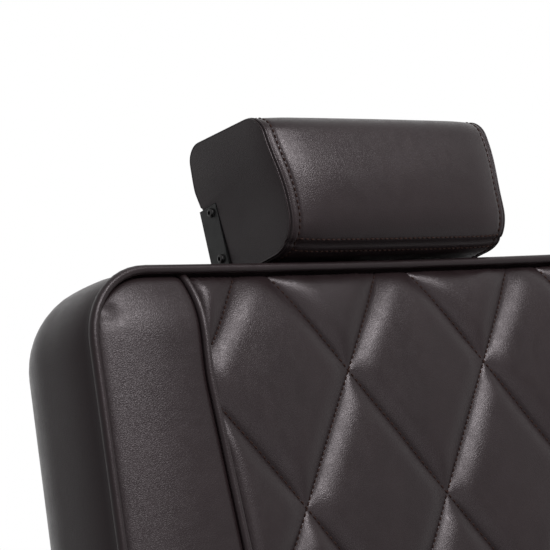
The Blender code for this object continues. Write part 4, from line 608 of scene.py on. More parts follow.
def stitch_mesh(paths, sizes, sides=5):
    """Short arched threads along paths of (point, normal), their ends sunk in the leather."""
    found = [spaced(path, sizes.stitch_pitch) for path in paths]
    places, along, facing = (np.concatenate(parts) for parts in zip(*found))
    along = unit(along)
    side = unit(np.cross(along, facing))
    over = np.cross(side, along)
    half = sizes.stitch_length / 2
    radius = sizes.thread
    sections = [(-1.0, 0.5, -0.9), (-0.6, 1.0, 0.5), (0.6, 1.0, 0.5), (1.0, 0.5, -0.9)]
    rings = []
    for share, width, rise in sections:
        centre = places + along * (half * share) + over * (radius * rise)
        for angle in turns(sides):
            rings.append(centre + radius * width * (math.cos(angle) * side + math.sin(angle) * over))
    points = np.stack(rings, axis=1).reshape(-1, 3)
    per_stitch = len(sections) * sides
    faces = []
    for first in range(0, len(points), per_stitch):
        for row in range(len(sections) - 1):
            low = first + row * sides
            for index in range(sides):
                after = (index + 1) % sides
                faces.append((low + index, low + sides + index, low + sides + after, low + after))
        faces.append(tuple(range(first, first + sides)))
        faces.append(tuple(range(first + per_stitch - 1, first + per_stitch - 1 - sides, -1)))
    mesh = bpy.data.meshes.new("stitches")
    mesh.from_pydata(points.tolist(), [], faces)
    mesh.shade_smooth()
    return mesh


def close_panel(bm):
    """Draw a sheet's rim straight back, close it behind and make it a mesh."""
    rim = [edge for edge in bm.edges if edge.is_boundary]
    grown = bmesh.ops.extrude_edge_only(bm, edges=rim)["geom"]
    for item in grown:
        if isinstance(item, bmesh.types.BMVert):
            item.co.z = PANEL_DEPTH
    rim = [edge for edge in bm.edges if edge.is_boundary]
    bmesh.ops.holes_fill(bm, edges=rim, sides=0)
    return finished_mesh(bm)


class QuiltedFace:
    """Plan and height of a cushion's face: quilted between two seams, plain strips beside them."""

    def __init__(self, corners, head, foot, bow, sizes):
        self.corners = corners
        self.head = head
        self.foot = foot
        self.bow = bow
        self.sizes = sizes
        self.inset = sizes.piping * PANEL_INSET
        self.first_row = head - QUILT_TOP
        self.outline = outline_ring(corners, -self.inset)
        self.side = np.array(sorted((v, u) for u, v, _ in corners if u > 0.0))

    def cells(self, u, v):
        """Position in the quilting's two diagonal directions, whole numbers on the sewn lines."""
        across = u / self.sizes.cell_width + 0.5
        along = (v - self.first_row) / self.sizes.cell_height
        return across + along, across - along

    def cell_range(self, half, low, high):
        """Least and most of both diagonal positions over a part of the face."""
        ends = np.array([self.cells(u, v) for u in (-half, half) for v in (low, high)])
        return ends.min(axis=0), ends.max(axis=0)

    def crossing(self, p, q):
        """Plan position of a pair of diagonal coordinates."""
        u = self.sizes.cell_width * (p + q - 1) / 2
        v = self.first_row + self.sizes.cell_height * (p - q) / 2
        return u, v

    def line_spacing(self):
        """Distance between two sewn lines that run side by side."""
        width = self.sizes.cell_width
        height = self.sizes.cell_height
        return width * height / math.hypot(width, height)

    def bow_at(self, u):
        """How far forward the face is at this distance from the middle."""
        return self.bow * (u / BACK_HALF_TOP) ** 2

    def to_end(self, v):
        """Distance from the nearer of the head and the foot."""
        return np.minimum(self.head - v, v - self.foot)

    def seam_at(self, v):
        """Distance of an inner seam from the middle."""
        to_end = self.to_end(v)
        lean = SEAM_LEAN * (1.0 - np.clip(to_end / LEAN_RUN, 0.0, 1.0)) ** 2
        return INNER_SEAM + lean + SEAM_BOW * smooth((to_end - BOW_START) / (BOW_END - BOW_START))

    def spread_plan(self, u, v):
        """Places across after the quilting is drawn out to the inner seams."""
        share = np.clip((np.abs(u) - SPREAD_START) / (INNER_SEAM - SPREAD_START), 0.0, 1.0)
        return u + np.sign(u) * (self.seam_at(v) - INNER_SEAM) * share**2

    def rolled(self, u, v, rise):
        """Height of a face that rolls up from its tucked edge, and distance from that edge."""
        inside = edge_distance(u, v, self.outline)
        at_once = PANEL_EDGE + EDGE_RISE * quarter(inside / EDGE_RUN)
        return at_once + (rise - EDGE_RISE) * ease(inside / self.sizes.rim_roll), inside

    def quilt_height(self, u, v):
        """Height of the quilted field."""
        sizes = self.sizes
        base, inside = self.rolled(u, v, sizes.quilt_rise)
        to_seam = INNER_SEAM - SEAM_HALF - np.abs(u)
        p, q = self.cells(u, v)
        to_p = np.abs(p - np.round(p)) * self.line_spacing()
        to_q = np.abs(q - np.round(q)) * self.line_spacing()
        pillow = sizes.pillow * ease(to_p / sizes.flank) * ease(to_q / sizes.flank)
        pillow += sizes.swell * np.abs(np.sin(math.pi * p) * np.sin(math.pi * q))
        pillow -= sizes.crease * np.maximum(groove(to_p, CREASE_WIDTH), groove(to_q, CREASE_WIDTH))
        fade = quarter(np.minimum(inside / QUILT_FADE, to_seam / SEAM_FADE))
        slack = SLACK * wander(np.column_stack((u, v, np.zeros_like(u))), SLACK_SIZE, 1)
        return base + pillow * fade + slack * ease(inside / QUILT_FADE) + self.bow_at(u)

    def strip_height(self, u, v):
        """Height of a plain side strip."""
        inside = edge_distance(u, v, self.outline)
        to_side = np.interp(v, self.side[:, 0], self.side[:, 1]) - np.abs(u)
        rounding = ease(self.to_end(v) / STRIP_HEAD_ROLL) * ease(to_side / STRIP_ROLL)
        crown = PANEL_EDGE + self.sizes.strip_rise * rounding + STRIP_BULGE * quarter(inside / BULGE_RUN)
        low = self.rolled(u, v, self.sizes.seam_rise)[0] - self.sizes.piping - STRIP_TUCK
        to_seam = np.abs(u) - self.seam_at(v)
        rise = low + (crown - low) * quarter(to_seam / STRIP_EDGE)
        pucker = np.hypot(u - PUCKER[0], v - self.head - PUCKER[1])
        return rise - PUCKER_DEPTH * groove(pucker, PUCKER_WIDTH) + self.bow_at(u)

    def quilt_sheet(self):
        """Flat sheet whose mesh follows the sewn diamonds, cut to the quilted field."""
        half = INNER_SEAM - SEAM_HALF
        low = self.foot + self.inset
        high = self.head - self.inset
        least, most = self.cell_range(half, low, high)
        first = [math.floor(value) * LATTICE_STEPS for value in least]
        last = [math.ceil(value) * LATTICE_STEPS for value in most]
        margin = 2.0 * self.sizes.cell_height / LATTICE_STEPS
        bm = bmesh.new()
        grid = {}
        for p in range(first[0], last[0] + 1):
            for q in range(first[1], last[1] + 1):
                u, v = self.crossing(cluster(p), cluster(q))
                if abs(u) < half + margin and low - margin < v < high + margin:
                    grid[p, q] = bm.verts.new((u, v, 0.0))
        for p, q in grid:
            ring = [(p, q), (p + 1, q), (p + 1, q + 1), (p, q + 1)]
            if all(corner in grid for corner in ring):
                bm.faces.new([grid[corner] for corner in ring])
        for place, out in (
            ((half, 0, 0), (1, 0, 0)),
            ((-half, 0, 0), (-1, 0, 0)),
            ((0, high, 0), (0, 1, 0)),
            ((0, low, 0), (0, -1, 0)),
        ):
            everything = [*bm.verts, *bm.edges, *bm.faces]
            bmesh.ops.bisect_plane(
                bm, geom=everything, dist=1e-6, plane_co=place, plane_no=out, clear_outer=True
            )
        bmesh.ops.remove_doubles(bm, verts=bm.verts, dist=MERGE)
        loose = [vertex for vertex in bm.verts if not vertex.link_faces]
        bmesh.ops.delete(bm, geom=loose, context="VERTS")
        return bm

    def quilt_mesh(self):
        """Quilted field as a closed panel with crisp sewn lines."""
        bm = self.quilt_sheet()
        plan = np.array([vertex.co[:] for vertex in bm.verts])
        p, q = self.cells(plan[:, 0], plan[:, 1])
        on_p = np.abs(p - np.round(p)) < 1e-4
        on_q = np.abs(q - np.round(q)) < 1e-4
        bm.verts.index_update()
        for edge in bm.edges:
            a, b = (vertex.index for vertex in edge.verts)
            edge.smooth = not ((on_p[a] and on_p[b]) or (on_q[a] and on_q[b]))
        height = self.quilt_height(plan[:, 0], plan[:, 1])
        across = self.spread_plan(plan[:, 0], plan[:, 1])
        for vertex, u, n in zip(bm.verts, across, height):
            vertex.co.x = u
            vertex.co.z = n
        return close_panel(bm)

    def strip_mesh(self, side):
        """Plain strip between an inner seam and the piping as a closed panel."""
        right = self.outline[self.outline[:, 0] > INNER_SEAM]
        right = right[np.argsort(right[:, 1])]
        low = right[0, 1]
        high = right[-1, 1]
        share = crowded(np.arange(STRIP_COLUMNS + 1), STRIP_COLUMNS)
        bm = bmesh.new()
        grid = []
        for row in range(STRIP_ROWS + 1):
            v = low + (high - low) * crowded(row, STRIP_ROWS)
            seam = self.seam_at(v) + SEAM_HALF
            far = np.interp(v, right[:, 1], right[:, 0])
            u = side * (seam + (far - seam) * share)
            n = self.strip_height(u, np.full_like(u, v))
            grid.append([bm.verts.new((x, v, z)) for x, z in zip(u, n)])
        for near, far in zip(grid, grid[1:]):
            for index in range(STRIP_COLUMNS):
                bm.faces.new((near[index], near[index + 1], far[index + 1], far[index]))
        return close_panel(bm)

    def edge_cord(self):
        """Path of the piping round the face."""
        return [(u, v, self.bow_at(u)) for u, v in outline_ring(self.corners)]

    def seam_cord(self, side):
        """Path of the piping in an inner seam, its ends tucked under the edge's piping."""
        v = np.linspace(self.foot, self.head, SEAM_POINTS)
        u = side * self.seam_at(v)
        n, _ = self.rolled(u, v, self.sizes.seam_rise)
        return list(zip(u, v, n + self.bow_at(u)))

    def sewn_paths(self):
        """Sewn lines as paths of (point, normal), from just inside the piping."""
        half = INNER_SEAM - SEWN_SIDE
        low = self.foot + SEWN_END
        high = self.head - SEWN_END
        least, most = self.cell_range(half, low, high)
        paths = []
        for axis, other in ((0, 1), (1, 0)):
            run = np.arange(least[other], most[other], SEWN_STEP)
            for line in range(math.ceil(least[axis]), math.floor(most[axis]) + 1):
                u, v = self.crossing(line, run) if axis == 0 else self.crossing(run, line)
                kept = (np.abs(u) < half) & (v > low) & (v < high)
                if kept.sum() > 2:
                    u = u[kept]
                    v = v[kept]
                    places = zip(self.spread_plan(u, v), v, self.quilt_height(u, v))
                    paths.append([(place, (0.0, 0.0, 1.0)) for place in places])
        return paths


def back_corners():
    """Front outline of the backrest at its piping."""
    return [
        (BACK_HALF_TOP, 0.0, BACK_CORNER_TOP),
        (-BACK_HALF_TOP, 0.0, BACK_CORNER_TOP),
        (-BACK_HALF_WIDEST, BACK_WIDEST_V, BACK_WAIST_RADIUS),
        (-BACK_HALF_BOTTOM, -BACK_LENGTH, BACK_CORNER_BOTTOM),
        (BACK_HALF_BOTTOM, -BACK_LENGTH, BACK_CORNER_BOTTOM),
        (BACK_HALF_WIDEST, BACK_WIDEST_V, BACK_WAIST_RADIUS),
    ]


def seat_corners():
    """Plan of the seat at its piping."""
    return [
        (SEAT_HALF_REAR, SEAT_REAR, SEAT_CORNER_REAR),
        (-SEAT_HALF_REAR, SEAT_REAR, SEAT_CORNER_REAR),
        (-SEAT_HALF_FRONT, SEAT_FRONT, SEAT_CORNER_FRONT),
        (SEAT_HALF_FRONT, SEAT_FRONT, SEAT_CORNER_FRONT),
    ]


def ring_at(corners, offset, n, bow=0.0, seed=0, least=SHELL_CORNER):
    """Ring of a cushion's side, moved outwards, at a depth, a little irregular where it has a seed."""
    plan = outline_ring(corners, offset, least)
    height = n + bow * (plan[:, 0] / BACK_HALF_TOP) ** 2
    ring = np.column_stack((plan, np.broadcast_to(height, len(plan))))
    if seed:
        out = ring - ring.mean(axis=0)
        out[:, 2] = 0.0
        ring += unit(out) * (SIDE_SLACK * wander(ring, SIDE_SLACK_SIZE, seed))[:, None]
    return ring


def lip_rings(corners, bow):
    """Front of a cushion's side: from under the panels out to the groove behind the piping."""
    return [ring_at(corners, offset, n, bow) for offset, n in LIP]


def back_shell_rings(corners):
    """Sides and rounded rear of the back cushion, from behind the piping to the middle of the rear."""
    rings = lip_rings(corners, BACK_BOW)
    for step in range(1, BACK_SIDE_STEPS + 1):
        share = step / BACK_SIDE_STEPS
        depth = (SIDE_START - BACK_SIDE_END) * share
        out = BACK_GROOVE + (BACK_BULGE - BACK_GROOVE) * (1.0 - math.exp(-depth / BACK_BULGE_RUN))
        rings.append(ring_at(corners, out, SIDE_START - depth, BACK_BOW * (1.0 - share), 2))
    for step in range(1, BACK_ROUND_STEPS + 1):
        turn = math.pi / 2 * step / BACK_ROUND_STEPS
        out = BACK_BULGE - BACK_ROUND * (1.0 - math.cos(turn))
        n = BACK_SIDE_END - (BACK_DEPTH + BACK_SIDE_END) * math.sin(turn)
        rings.append(ring_at(corners, out, n, 0.0, 2))
    return rings + rear_rings(rings[-1], REAR_SHARES)


def rear_rings(edge, shares):
    """Rings of the rear panel from its edge towards its middle, with the groove of its seam."""
    middle = np.array((0.0, -BACK_LENGTH / 2, -BACK_DEPTH))
    rings = []
    for share in shares:
        ring = middle + (edge - middle) * share
        seam = REAR_SEAM_DEPTH * groove(share - REAR_SEAM, REAR_SEAM_WIDTH)
        ring[:, 2] = -BACK_DEPTH - REAR_CROWN * (1.0 - share**2) + seam
        rings.append(ring)
    return rings


def rear_seam_path(corners):
    """Row of stitches beside the seam round the rear panel, as a path of (point, normal)."""
    edge = ring_at(corners, BACK_BULGE - BACK_ROUND, -BACK_DEPTH)
    ring = rear_rings(edge, (REAR_STITCHES,))[0]
    return [(tuple(point), (0.0, 0.0, -1.0)) for point in np.vstack((ring, ring[:1]))]


def add_face_pieces(name, face, matrix, body):
    """Panels and piping of a quilted face."""
    radius = face.sizes.piping
    pad = (f"{name}_pad",)
    add_piece(f"{name}_quilt", face.quilt_mesh(), matrix, body, "espresso_leather", pad)
    for hand, side in HANDS:
        strip = face.strip_mesh(side)
        add_piece(f"{name}_strip_{hand}", strip, matrix, body, "espresso_leather_crosswise", pad)
        cord = tube(face.seam_cord(side), radius, False, UP)
        seam = (f"{name}_seam_welt_{hand}",)
        add_piece(f"{name}_seam_piping_{hand}", cord, matrix, body, "espresso_leather", seam)
    cord = tube(face.edge_cord(), radius, True, UP)
    add_piece(f"{name}_piping", cord, matrix, body, "espresso_leather", (f"{name}_welt",))


def make_back_cushion(sizes):
    """Back cushion: quilted field, side strips, piping, boxing with its rounded rear, and stitches."""
    matrix = back_frame(sizes.piping)
    face = QuiltedFace(back_corners(), 0.0, -BACK_LENGTH, BACK_BOW, sizes)
    add_face_pieces("back", face, matrix, "backrest")
    shell = loft(back_shell_rings(face.corners))
    inside = ("back_core", "back_cover", "back_board")
    add_piece("back_shell", shell, matrix, "backrest", "espresso_leather", inside)
    stitches = stitch_mesh(face.sewn_paths() + [rear_seam_path(face.corners)], sizes)
    add_piece("back_stitches", stitches, matrix, "backrest", "brown_thread")


def seat_shell_rings(corners, depth):
    """Sides of the seat cushion, from behind the piping down round the board's edge."""
    rings = lip_rings(corners, 0.0)
    for step in range(1, SEAT_STEPS + 1):
        share = step / SEAT_STEPS
        bulge = SEAT_BULGE * math.sin(math.pi * min(share * 1.05, 1.0)) ** 0.7
        out = SEAT_GROOVE + bulge - SEAT_TUCK * share**6
        rings.append(ring_at(corners, out, SIDE_START - (depth + SIDE_START) * share, 0.0, 3))
    return rings + [ring_at(corners, out, -depth - SEAT_UNDER) for out in SEAT_UNDER_OUT]


def make_seat_cushion(sizes):
    """Seat cushion: quilted field, side strips, piping, boxing and stitches."""
    matrix = seat_frame(sizes.piping)
    face = QuiltedFace(seat_corners(), SEAT_REAR, SEAT_FRONT, 0.0, sizes)
    add_face_pieces("seat", face, matrix, "seat")
    depth = matrix.translation.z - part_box("seat_board")[0].z - SEAT_BOARD_SHOWS
    shell = loft(seat_shell_rings(face.corners, depth))
    add_piece("seat_shell", shell, matrix, "seat", "espresso_leather", ("seat_core",))
    add_piece("seat_stitches", stitch_mesh(face.sewn_paths(), sizes), matrix, "seat", "brown_thread")


def head_profile():
    """End view of the headrest as evenly spaced (n, v) points."""
    points = []
    for index, (n, v, radius) in enumerate(HEAD_PROFILE):
        if radius > 0.0:
            points += [tuple(point) for point in corner_arc(HEAD_PROFILE, index, HEAD_ARC_STEPS)]
        else:
            points.append((n, v))
    path = np.array(points)
    run = run_along(path)
    at = np.linspace(0.0, run[-1], HEAD_PROFILE_POINTS)
    return np.column_stack((np.interp(at, run, path[:, 0]), np.interp(at, run, path[:, 1])))


def profile_normals(profile):
    """Outward directions of the headrest's end view, as (n, v)."""
    along = unit(np.gradient(profile, axis=0))
    return np.column_stack((along[:, 1], -along[:, 0]))


def head_offsets(profile, out, u):
    """How far the headrest's cover stands out from its end profile at a distance from the middle."""
    from_end = HEAD_HALF - abs(u)
    puff = BAND_PUFF * ease(from_end / HEAD_BAND)
    puff += FRONT_PUFF * ease((from_end - HEAD_BAND) / FRONT_PUFF_RUN)
    puff += MIDDLE_PUFF * (1.0 - (u / HEAD_HALF) ** 2)
    puff -= ROW_DEPTH * groove(from_end - HEAD_BAND, ROW_WIDTH)
    puff -= END_SEAM_DEPTH * groove(from_end, END_SEAM_WIDTH)
    n, v = profile.T
    swell = quarter((v - HEAD_BOTTOM + FOOT_START) / FOOT_RUN) * quarter((n - HEAD_REAR) / REAR_RUN)
    swell *= 1.0 - TOP_FLATNESS * np.clip(out[:, 1], 0.0, 1.0) ** 2
    front = n > 0.0
    chin = np.where(front & (v < CHIN_ZONE), groove(v - HEAD_CHIN_SEAM, CHIN_WIDTH), 0.0)
    height = np.clip((v - HEAD_BOTTOM) / (CROWN_TOP - HEAD_BOTTOM), 0.0, 1.0)
    crown = HEAD_CROWN * (1.0 - (u / HEAD_HALF) ** 4) * np.where(front, np.sin(math.pi * height), 0.0)
    return puff * swell + crown - CHIN_DEPTH * chin


def head_ring(profile, u):
    """Ring of the headrest's cover, in the backrest's frame, closed through the notch for the batten."""
    out = profile_normals(profile)
    moved = profile + out * head_offsets(profile, out, u)[:, None]
    ring = np.vstack((moved, (HEAD_NOTCH_FRONT, HEAD_NOTCH_TOP)))
    return np.column_stack((u * head_spread(ring[:, 1]), ring[:, 1], ring[:, 0]))


def head_spread(v):
    """How many times wider the headrest is at a height than at its foot."""
    return 1.0 + HEAD_FLARE / HEAD_HALF * smooth((v - FLARE_START) / FLARE_RUN)


def head_end_rings(profile, side):
    """Rings of an end panel, from its middle out to its seam."""
    edge = head_ring(profile, side * HEAD_HALF)
    middle = np.array((side * HEAD_HALF, *END_MIDDLE))
    rings = []
    for share in END_SHARES:
        ring = middle + (edge - middle) * share
        ring[:, 0] = side * (HEAD_HALF * head_spread(ring[:, 1]) + END_CROWN * (1.0 - share**4))
        rings.append(ring)
    return rings


def head_stations():
    """Places across the headrest, close together at its sewn ends."""
    at_row = [HEAD_BAND + step for step in STATIONS_AT_ROW]
    left = [-HEAD_HALF + step for step in (*STATIONS_IN_BAND, *at_row, *STATIONS_INSIDE)]
    return left + [0.0] + [-u for u in reversed(left)]


def head_paths(profile):
    """Rows of stitches on the headrest as paths of (point, normal)."""
    paths = []
    out = profile_normals(profile)
    normals = np.column_stack((np.zeros(len(profile)), out[:, 1], out[:, 0]))
    for _, side in HANDS:
        ring = head_ring(profile, side * (HEAD_HALF - HEAD_BAND))[:-1]
        paths.append(list(zip(map(tuple, ring[4:-3]), map(tuple, normals[4:-3]))))
    stations = [u for u in head_stations() if abs(u) < HEAD_HALF - HEAD_BAND]
    low_front = (profile[:, 0] > 0.0) & (profile[:, 1] < CHIN_ZONE)
    for height in (HEAD_CHIN_SEAM + HEAD_CHIN_ROWS, HEAD_CHIN_SEAM - HEAD_CHIN_ROWS):
        index = int(np.argmin(np.where(low_front, np.abs(profile[:, 1] - height), 1.0)))
        paths.append([(tuple(head_ring(profile, u)[index]), tuple(normals[index])) for u in stations])
    return paths


def make_headrest(sizes):
    """Headrest: cover with its sewn ends and chin seam, end lips and stitches."""
    matrix = back_frame(sizes.piping)
    profile = head_profile()
    rings = head_end_rings(profile, -1) + [head_ring(profile, u) for u in head_stations()]
    cover = loft(rings + head_end_rings(profile, 1)[::-1])
    cover.set_sharp_from_angle(angle=math.radians(50))
    block = ("headrest_cushion",)
    add_piece("headrest_cover", cover, matrix, "headrest", "espresso_leather", block)
    for hand, side in HANDS:
        for name, inset in LIP_INSETS:
            ring = head_ring(profile, side * (HEAD_HALF - inset))[:-1]
            lip = tube(ring[1:-1], LIP_RADIUS, False, ACROSS, 8)
            add_piece(f"headrest_{name}_lip_{hand}", lip, matrix, "headrest", "espresso_leather")
    stitches = stitch_mesh(head_paths(profile), sizes)
    add_piece("headrest_stitches", stitches, matrix, "headrest", "brown_thread")


def make_headrest_screws():
    """Socket-head screws in the ends of the headrest's bracket."""
    for number in range(1, 5):
        node = f"headrest_screw_{number}"
        low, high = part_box(node)
        side = -1.0 if low.x < 0.0 else 1.0
        face = low.x if side < 0.0 else high.x
        seat = Vector((face - side * SCREW_HEIGHT, (low.y + high.y) / 2, (low.z + high.z) / 2))
        turned = Matrix.Translation(seat) @ Matrix.Rotation(side * math.pi / 2, 4, "Y")
        screw = button_screw(SCREW_RADIUS, SCREW_HEIGHT)
        add_piece(f"headrest_button_screw_{number}", screw, turned, "headrest", "black_oxide_steel", (node,))


def apply_modifiers(item):
    """Put what an object's modifiers make of it in the place of its mesh."""
    seen = item.evaluated_get(bpy.context.evaluated_depsgraph_get())
    made = bpy.data.meshes.new_from_object(seen)
    item.modifiers.clear()
    item.vertex_groups.clear()
    item.data = made


def vertex_places(mesh):
    """Places of a mesh's vertices as rows."""
    return np.array([vertex.co[:] for vertex in mesh.vertices])


def swollen(mesh):
    """Swell a pad's cover as cloth under pressure, with its lowest part held, and smooth the result."""
    scene = bpy.context.scene
    pad = bpy.data.objects.new("swelling_pad", mesh)
    scene.collection.objects.link(pad)
    remesh = pad.modifiers.new("even_mesh", "REMESH")
    remesh.mode = "VOXEL"
    remesh.voxel_size = PAD_VOXEL
    apply_modifiers(pad)
    start = vertex_places(pad.data)
    pins = pad.vertex_groups.new(name="held")
    pins.add([index for index, place in enumerate(start) if place[2] < PAD_HELD], 1.0, "REPLACE")
    cloth = pad.modifiers.new("swell", "CLOTH")
    cloth.settings.quality = PAD_QUALITY
    cloth.settings.use_pressure = True
    cloth.settings.uniform_pressure_force = PAD_PRESSURE
    cloth.settings.vertex_group_mass = "held"
    cloth.settings.effector_weights.gravity = 0.0
    cloth.point_cache.frame_start = 1
    cloth.point_cache.frame_end = PAD_FRAMES
    for step in range(1, PAD_FRAMES + 1):
        scene.frame_set(step)
    apply_modifiers(pad)
    scene.frame_set(1)
    moved = vertex_places(pad.data) - start
    share = np.minimum(1.0, PAD_SWELL / np.maximum(np.linalg.norm(moved, axis=1), 1e-9))
    pad.data.vertices.foreach_set("co", (start + moved * share[:, None]).ravel())
    pad.modifiers.new("smooth", "SUBSURF").levels = 1
    apply_modifiers(pad)
    swelled = pad.data
    bpy.data.objects.remove(pad)
    swelled.shade_smooth()
    return swelled


def pad_rings(corners, height):
    """Rings of a plain pad, from its flat base to its crowned top, a little smaller than the finished one."""
    full = height - PAD_LESS
    places = [
        (-0.005, 0.0), (-0.0015, 0.0025), (0.0005, 0.30 * full), (0.0005, 0.58 * full),
        (-0.0015, 0.76 * full), (-0.006, 0.88 * full), (-0.013, 0.94 * full), (-0.022, 0.975 * full),
        (-0.032, full),
    ]
    return [ring_at(corners, offset - PAD_LESS, n, least=PAD_CORNER) for offset, n in places]


def surface_of(mesh):
    """Mesh as a surface that rays can meet."""
    corners = [vertex.co for vertex in mesh.vertices]
    return BVHTree.FromPolygons(corners, [face.vertices for face in mesh.polygons])


def surface_path(surface, points, directions, lift):
    """Path of (point, normal) where rays meet a surface."""
    path = []
    for point, direction in zip(points, directions):
        place, normal, _, _ = surface.ray_cast(Vector(point), Vector(direction))
        path.append((tuple(place + normal * lift), tuple(normal)))
    return path


def make_pad(node, matrix, corners, height, sizes):
    """Upholstered pad: swelled cover, piping round its shoulder and a row of stitches inside it."""
    cover = swollen(loft(pad_rings(corners, height)))
    surface = surface_of(cover)
    add_piece(f"{node}_cover", cover, matrix, "seat", "espresso_leather", (node,))
    outer = outline_ring(corners, PAD_REACH, PAD_CORNER)
    inner = outline_ring(corners, -PAD_REACH, PAD_CORNER)
    far = [(u, v, height * PAD_SHOULDER) for u, v in outer]
    inwards = [(b[0] - a[0], b[1] - a[1], 0.0) for a, b in zip(outer, inner)]
    shoulder = [point for point, _ in surface_path(surface, far, inwards, PAD_PIPING_LIFT)]
    cord = tube(shoulder, PAD_PIPING, True, UP, 10)
    add_piece(f"{node}_piping", cord, matrix, "seat", "espresso_leather")
    sewn = outline_ring(corners, PAD_SEWN, PAD_CORNER)
    above = [(u, v, height * 2) for u, v in np.vstack((sewn, sewn[:1]))]
    row = surface_path(surface, above, [(0.0, 0.0, -1.0)] * len(above), 0.0)
    add_piece(f"{node}_stitches", stitch_mesh([row], sizes), matrix, "seat", "brown_thread")


def make_arm_pads(sizes):
    """Pads of both arms, on their frames."""
    for hand, _ in HANDS:
        node = f"arm_pad_{hand}"
        low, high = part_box(node)
        half = (high - low) / 2
        corners = rectangle(half.x - PAD_CLEAR, half.y - PAD_CLEAR, ARM_PAD_CORNER)
        base = Vector(((low.x + high.x) / 2, (low.y + high.y) / 2, low.z))
        make_pad(node, Matrix.Translation(base), corners, high.z - low.z, sizes)


def make_calf_pad(sizes):
    """Pad of the legrest, on its board."""
    board = frame["nodes"]["calf_board"].data
    largest = max(board.polygons, key=lambda face: face.area)
    out = largest.normal if largest.normal.y < 0.0 else -largest.normal
    up = out.cross(ACROSS)
    span = [reach("calf_pad", direction) for direction in (ACROSS, up, out)]
    base = up * (sum(span[1]) / 2) + out * span[2][0]
    width, long, height = (high - low for low, high in span)
    corners = rectangle(width / 2 - PAD_CLEAR, long / 2 - PAD_CLEAR, CALF_PAD_CORNER)
    make_pad("calf_pad", face_frame(base, up, out), corners, height, sizes)


def make_pedal_tread():
    """Ribbed rubber tread of the pump pedal."""
    ribs = 7
    edge = 0.008  # ribs stop this far from the tread's sides
    low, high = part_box("pedal_pad")
    half = (high - low) / 2
    corners = rectangle(half.x, half.y, 0.012)
    top = half.z * 0.35
    places = [
        (-0.0008, -half.z), (0.0, -half.z + 0.001), (0.0, top - 0.002), (-0.0006, top - 0.0006), (-0.002, top)
    ]
    slab = loft([ring_at(corners, offset, z, least=0.006) for offset, z in places])
    bm = bmesh.new()
    bm.from_mesh(slab)
    for rib in range(ribs):
        x = half.x * 0.80 * (2 * rib / (ribs - 1) - 1)
        section = [
            (x - 0.0034, top - 0.001), (x - 0.0030, half.z * 0.8), (x - 0.0018, half.z),
            (x + 0.0018, half.z), (x + 0.0030, half.z * 0.8), (x + 0.0034, top - 0.001),
        ]
        bar = loft([[(a, y, b) for a, b in section] for y in (edge - half.y, half.y - edge)])
        bm.from_mesh(bar)
        bpy.data.meshes.remove(bar)
    bm.to_mesh(slab)
    bm.free()
    slab.set_sharp_from_angle(angle=math.radians(40))
    matrix = Matrix.Translation((low + high) / 2)
    add_piece("pedal_tread", slab, matrix, "pedal", "moulded_rubber", ("pedal_pad",))


def make_lever_grip():
    """Ringed rubber grip of the release lever."""
    sides = 28
    steps = 96
    waves = 11
    end_round = 0.005
    low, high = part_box("lever_grip")
    radius = (high.x - low.x) / 2
    long = high.y - low.y
    angles = turns(sides)
    rings = []
    for step in range(steps + 1):
        share = step / steps
        ringed = 0.08 < share < 0.90
        wave = max(0.0, math.cos(2 * math.pi * share * waves)) ** 0.5 if ringed else 1.0
        end = quarter(min(share, 1.0 - share) * long / end_round)
        across = radius * (0.35 + 0.65 * end) * (0.90 + 0.10 * wave)
        y = np.full(sides, long * (share - 0.5))
        rings.append(np.column_stack((across * np.cos(angles), y, across * np.sin(angles))))
    matrix = Matrix.Translation((low + high) / 2)
    add_piece("ringed_grip", loft(rings), matrix, "release", "moulded_rubber", ("lever_grip",))


def hex_bolt(radius, height, washer, sides=36):
    """Hexagon bolt head with a chamfered top on a round washer, its seat at the origin and its head up +Z."""
    flat = hexagon(radius, sides)
    sections = [
        (washer, -0.001), (washer, 0.0010), (washer - 0.0004, 0.0014),
        (flat, 0.0014), (flat, height - 0.0012), (np.minimum(flat, radius * 0.90), height - 0.0003),
        (radius * 0.80, height),
    ]
    mesh = loft(round_rings(sections, sides))
    mesh.set_sharp_from_angle(angle=math.radians(30))
    return mesh


def button_screw(radius, height, sides=32):
    """Round-headed screw with a hexagon socket, its seat at the origin and its head up +Z."""
    sections = [(radius * 0.48, -0.010), (radius * 0.48, 0.0), (radius, 0.0), (radius, height * 0.22)]
    for step in range(1, 7):
        turn = math.pi / 2 * step / 6
        sections.append((radius * (0.56 + 0.44 * math.cos(turn)), height * (0.22 + 0.78 * math.sin(turn))))
    wall = hexagon(radius * 0.50, sides)
    mesh = loft(round_rings(sections + [(wall, height), (wall, height * 0.25)], sides))
    mesh.set_sharp_from_angle(angle=math.radians(40))
    return mesh


def make_fasteners():
    """Bolts that hold the arms to the rails."""
    for hand, side in HANDS:
        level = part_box(f"rail_{hand}")[0].z + ARM_LUG_LEVEL
        surface = surface_of(frame["nodes"][f"arm_frame_{hand}"].data)
        for number, y in enumerate((ARM_LUG_FRONT, ARM_LUG_REAR), start=1):
            place, normal, _, _ = surface.ray_cast(Vector((side, y, level)), Vector((-side, 0.0, 0.0)))
            seat = Matrix.Translation(place) @ normal.to_track_quat("Z", "Y").to_matrix().to_4x4()
            add_piece(f"arm_bolt_{hand}_{number}", hex_bolt(*ARM_BOLT), seat, "seat", "black_oxide_steel")


def put(tree, kind, inputs=None, **settings):
    """Add a shader node, with its settings and its inputs set or linked by name or number."""
    node = tree.nodes.new(kind)
    for name, value in settings.items():
        setattr(node, name, value)
    for name, value in (inputs or {}).items():
        socket = node.inputs[name]
        if isinstance(value, bpy.types.NodeSocket):
            tree.links.new(value, socket)
        else:
            socket.default_value = value
    return node


